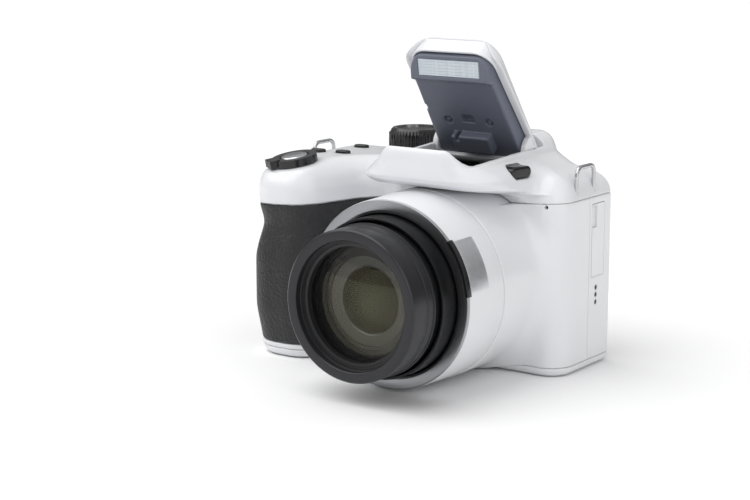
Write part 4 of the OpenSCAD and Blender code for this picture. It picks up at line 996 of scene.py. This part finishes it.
class CAMERA_OT_barrels(bpy.types.Operator):
    """Fixed and moving lens barrels, name ring and side inset"""
    bl_idname = "camera_part.barrels"
    bl_label = "Lens barrels"

    def execute(self, context):
        front = RING_FRONT - RING_T
        mouth, rear = RING_IN + 0.3, front - 1.2
        barrel = [(BOSS_IN, BARREL_SEAM), (BOSS - GAP, BARREL_SEAM), (BARREL, front), (mouth, front),
                  (mouth, rear), (BOSS_IN, rear)]
        dress(lathe("fixed_barrel", barrel, 0.3), "moulded white ABS", "body", "white_abs", "lens_barrel")

        # The inset stands a little proud of the tapered barrel; a black line wraps the ring's edge beside it
        slope = (BOSS - GAP - BARREL) / (front - BARREL_SEAM)
        proud, root = BARREL + 0.16, BARREL - 0.6
        inset = [(root, front - 11.8), (proud + 12 * slope, front - 11.8), (proud + slope, front - 1),
                 (root, front - 1)]
        dress(lathe("side_inset", inset, 0.12, 48, (8.3, 39.7)), "bright chrome plate", "body", "bright_trim",
              "barrel_trim")
        line = [(root, front - 0.98), (proud + slope, front - 0.98), (proud, RING_FRONT - 0.1),
                (BARREL - 0.2, RING_FRONT + 0.08), (BARREL - 1.2, RING_FRONT + 0.06), (BARREL - 1.2, front)]
        dress(lathe("inset_line", line, 0.1, 48, (6, 41)), "polished black ABS", "body", "black_gloss")

        rim = BARREL - 0.1
        ring = [(RING_IN, front), (rim, front), (rim, RING_FRONT - 0.2), (rim - 0.4, RING_FRONT),
                (RING_IN + 1, RING_FRONT - 0.25), (RING_IN, RING_FRONT - 0.6)]
        dress(lathe("spun_ring", ring, 0.12, 192), "spun aluminium", "body", "brushed_ring", "name_ring")

        bore, outside, back, reach = 27.4, 28.4, 32, 69.5
        middle = [(bore, back), (outside, back), (outside, reach), (bore, reach)]
        dress(lathe("middle_tube", middle, 0.25), "black barrel paint", "middle_group", "black_matte",
              "middle_barrel")

        # Rear flange, rim and groove along the outside, then the lip and the glass's seat along the inside
        bore, flange, waist, wall, groove, lip, seat = 25.1, 27.0, 26.3, 26.6, 26.45, 22.7, 22.4
        tube = [(bore, 47), (flange, 47), (flange, 49), (waist, 49), (waist, 71.6), (flange, 71.6),
                (flange, 72.5), (wall, 72.5), (wall, 75.6), (groove, 75.75), (groove, 76.05), (wall, 76.2),
                (wall, 83.9), (wall - 0.6, 84.5), (lip + 0.3, 84.5), (lip, 84.2), (lip, 81.7), (seat, 81.7),
                (seat, 76), (bore, 76)]
        dress(lathe("front_tube", tube, 0.14, 192), "satin barrel paint", "front_group", "barrel_grey",
              "front_barrel")
        return {"FINISHED"}


class CAMERA_OT_glass(bpy.types.Operator):
    """Optics: front element, retainer, baffle and inner element"""
    bl_idname = "camera_part.glass"
    bl_label = "Optics"

    def execute(self, context):
        face, hollow, bed, rim, seat = 81.4, 78.0, 76.0, 22.3, 20.5
        inner = [p for p in reversed(dome(rim, hollow, 110, 24)) if p[0] < seat]
        element = lens_element("front_element", face, dome(rim, face, 70, 24),
                               [(rim, bed), (seat, bed)] + inner, hollow)
        dress(element, "coated optical glass", "front_group", "coated_glass", "front_lens")
        face, back, rim = bed - 3.85, bed - 6.65, 11.65
        element = lens_element("inner_element", face, dome(rim, face, 30, 16), [(rim, back)], back)
        dress(element, "deep coated glass", "front_group", "coated_glass", "inner_lens")
        paint("matt black polycarbonate", "lens_retainer", "baffle_ring", "guide_tube", "cam_ring",
              "rear_group")
        paint("grey cell paint", "inner_cell")
        return {"FINISHED"}


class CAMERA_OT_dial(bpy.types.Operator):
    """Knurled mode dial"""
    bl_idname = "camera_part.dial"
    bl_label = "Mode dial"

    def execute(self, context):
        ribs, points, knurl = 48, 8, 0.5
        foot = DECK + 0.4
        top = foot + DIAL_H
        # Height, inset from the full radius, and share of the knurl's depth
        rows = [(foot, 0.5, 0.3), (foot + 0.4, 0, 1), (top - 2.4, 0, 1), (top - 1.9, 0.5, 0.2),
                (top - 1, 0.9, 0), (top - 0.4, 1.6, 0), (top - 0.4, 2.2, 0), (top - 0.9, 2.3, 0),
                (top - 0.9, 5, 0)]
        loops = []
        for height, inset, share in rows:
            loop = []
            for k in range(ribs * points):
                a = 2 * math.pi * k / (ribs * points)
                wave = min(max(0.5 - 1.1 * math.cos(a * ribs), 0), 1)
                r = DIAL_R - inset - knurl * share * wave
                loop.append((DIAL[0] + r * math.cos(a), DIAL[1] + r * math.sin(a), height))
            loops.append(loop)
        dress(stacked("dial_knob", loops, 30), "polished black ABS", "mode_dial", "black_gloss", "mode_dial")
        paint("nickel plate", "dial_ring")
        return {"FINISHED"}


class CAMERA_OT_buttons(bpy.types.Operator):
    """Deck buttons, shutter, flash release and rear controls"""
    bl_idname = "camera_part.buttons"
    bl_label = "Buttons"

    def execute(self, context):
        black = "polished black ABS"
        for name, at in DECK_BUTTONS.items():
            key = cap(name + "_key", oval(*DECK_KEY), crown(0.9, 0.6, 0.1, -4), (*at, DECK), UPRIGHT)
            dress(key, black, name, "black_gloss", name)
        for name, (x, z) in REAR_BUTTONS.items():
            key = cap(name + "_key", oval(REAR_KEY, REAR_KEY), crown(0.8, 0.5, 0.1, -2.4), (x, BODY_REAR, z),
                      REARWARD)
            dress(key, black, name, "black_gloss", name)
        key = cap("set_key", oval(SET_KEY, SET_KEY, 64), crown(0.7, 0.4, 0.1, -2.6),
                  (NAV[0], BODY_REAR, NAV[1]), REARWARD)
        dress(key, "grey ABS", "set_button", "black_gloss", "set_button")
        key = cap("release_key", oval(*RELEASE_KEY, 64), crown(1, 0.8, 0.15, -3.4), RELEASE, release_axes())
        dress(key, black, "flash_release", "black_gloss", "flash_release")
        key = cap("shutter_key", oval(SHUTTER_KEY, SHUTTER_KEY, 96), crown(3.3, 0.7, 0.4, -0.8), SHUTTER,
                  shutter_axes())
        dress(key, "polished steel", "shutter", "black_gloss", "shutter_button")
        paint(black, "zoom_lever", "nav_ring", "battery_latch")
        paint("pebbled rubber", "thumb_rest")
        return {"FINISHED"}


class CAMERA_OT_fittings(bpy.types.Operator):
    """Display, port cover, strap loops, screws and the pieces inside"""
    bl_idname = "camera_part.fittings"
    bl_label = "Fittings"

    def execute(self, context):
        paint("display cover glass", "display_window", "display_panel")
        paint("moulded white ABS", "port_cover")
        paint("drawn steel wire", "strap_lugs", "flash_pin", "door_pin")
        paint("zinc-plated steel", "base_screws", "usb_socket", "chassis", "zoom_motor")
        paint("turned brass", "tripod_socket", "drive_gear")
        paint("green board lacquer", "main_board", "sensor_unit")
        paint("matt black polycarbonate", "battery_case", "speaker")
        paint("shrunk battery film", "battery", "flash_capacitor")
        return {"FINISHED"}


class CAMERA_OT_stage(bpy.types.Operator):
    """Pale floor, soft studio light and the photograph's camera"""
    bl_idname = "camera_part.stage"
    bl_label = "Stage"

    def execute(self, context):
        scene = context.scene
        props = scene.camera_stage
        bpy.ops.mesh.primitive_plane_add(size=6, location=(0, 0, -0.0002))
        floor = context.object
        floor.name = "floor"
        floor.data.materials.append(finish("painted board"))

        eye, target = Vector(props.eye), Vector(props.target)
        camera = placed("photo_camera", bpy.data.cameras.new("photo_camera"))
        camera.data.sensor_width = 36
        camera.data.lens = props.focal
        camera.data.clip_start = 0.01
        camera.location = eye
        camera.rotation_euler = (target - eye).to_track_quat("-Z", "Y").to_euler()
        scene.camera = camera

        # Two wide soft sources, far off so that the floor is lit evenly
        for name, at, angle, power in (("key_light", (-0.45, -0.35, 0.9), 70, 2.15),
                                       ("fill_light", (0.9, -0.5, 0.35), 60, 0.8)):
            lamp = placed(name, bpy.data.lights.new(name, "SUN"))
            lamp.data.angle = math.radians(angle)
            lamp.data.energy = power
            lamp.location = at
            lamp.rotation_euler = (-Vector(at)).to_track_quat("-Z", "Y").to_euler()

        # White where the camera or clear plastic sees it; a sky that brightens upwards lights the object
        scene.world = bpy.data.worlds.new("studio")
        scene.world.use_nodes = True
        tree = scene.world.node_tree
        tree.nodes.clear()
        path = add(tree, "LightPath")
        seen = add(tree, "Math", {0: path.outputs["Is Camera Ray"], 1: path.outputs["Is Transmission Ray"]},
                   operation="MAXIMUM")
        way = add(tree, "SeparateXYZ", {"Vector": add(tree, "TexCoord").outputs["Generated"]})
        rise = add(tree, "MapRange", {"Value": way.outputs["Z"], "From Min": 0.0, "From Max": 0.85,
                                      "To Min": 0.12, "To Max": 0.62})
        soft = add(tree, "Background", {"Color": srgb("#ffffff"), "Strength": rise})
        white = add(tree, "Background", {"Color": srgb("#ffffff"), "Strength": 1.0})
        both = add(tree, "MixShader", {0: seen, 1: soft, 2: white})
        add(tree, "OutputWorld", {"Surface": both})
        scene.view_settings.view_transform = "Standard"
        return {"FINISHED"}


PIECES = (CAMERA_OT_stage, CAMERA_OT_top_cover, CAMERA_OT_front_shell, CAMERA_OT_rear_cover, CAMERA_OT_base,
          CAMERA_OT_grip, CAMERA_OT_flash, CAMERA_OT_barrels, CAMERA_OT_glass, CAMERA_OT_dial,
          CAMERA_OT_buttons, CAMERA_OT_fittings)


class CAMERA_PT_panel(bpy.types.Panel):
    """Lists the pieces and their settings"""
    bl_label = "Bridge camera"
    bl_idname = "CAMERA_PT_panel"
    bl_space_type = "VIEW_3D"
    bl_region_type = "UI"
    bl_category = "Camera"

    def draw(self, context):
        for group in GROUPS:
            props = getattr(context.scene, group)
            for key in props.__annotations__:
                self.layout.prop(props, key)
        for piece in PIECES:
            self.layout.operator(piece.bl_idname)


GROUPS = {"camera_finish": FinishProps, "camera_form": FormProps, "camera_stage": StageProps}
CLASSES = (*GROUPS.values(), *PIECES, CAMERA_PT_panel)


def register():
    for item in CLASSES:
        bpy.utils.register_class(item)
    for name, group in GROUPS.items():
        setattr(bpy.types.Scene, name, PointerProperty(type=group))


def unregister():
    for name in GROUPS:
        delattr(bpy.types.Scene, name)
    for item in reversed(CLASSES):
        bpy.utils.unregister_class(item)


def main():
    register()
    bpy.ops.camera_part.stage()
    bpy.ops.camera_part.top_cover()
    bpy.ops.camera_part.front_shell()
    bpy.ops.camera_part.rear_cover()
    bpy.ops.camera_part.base()
    bpy.ops.camera_part.grip()
    bpy.ops.camera_part.flash()
    bpy.ops.camera_part.barrels()
    bpy.ops.camera_part.glass()
    bpy.ops.camera_part.dial()
    bpy.ops.camera_part.buttons()
    bpy.ops.camera_part.fittings()


if __name__ == "__main__":
    main()
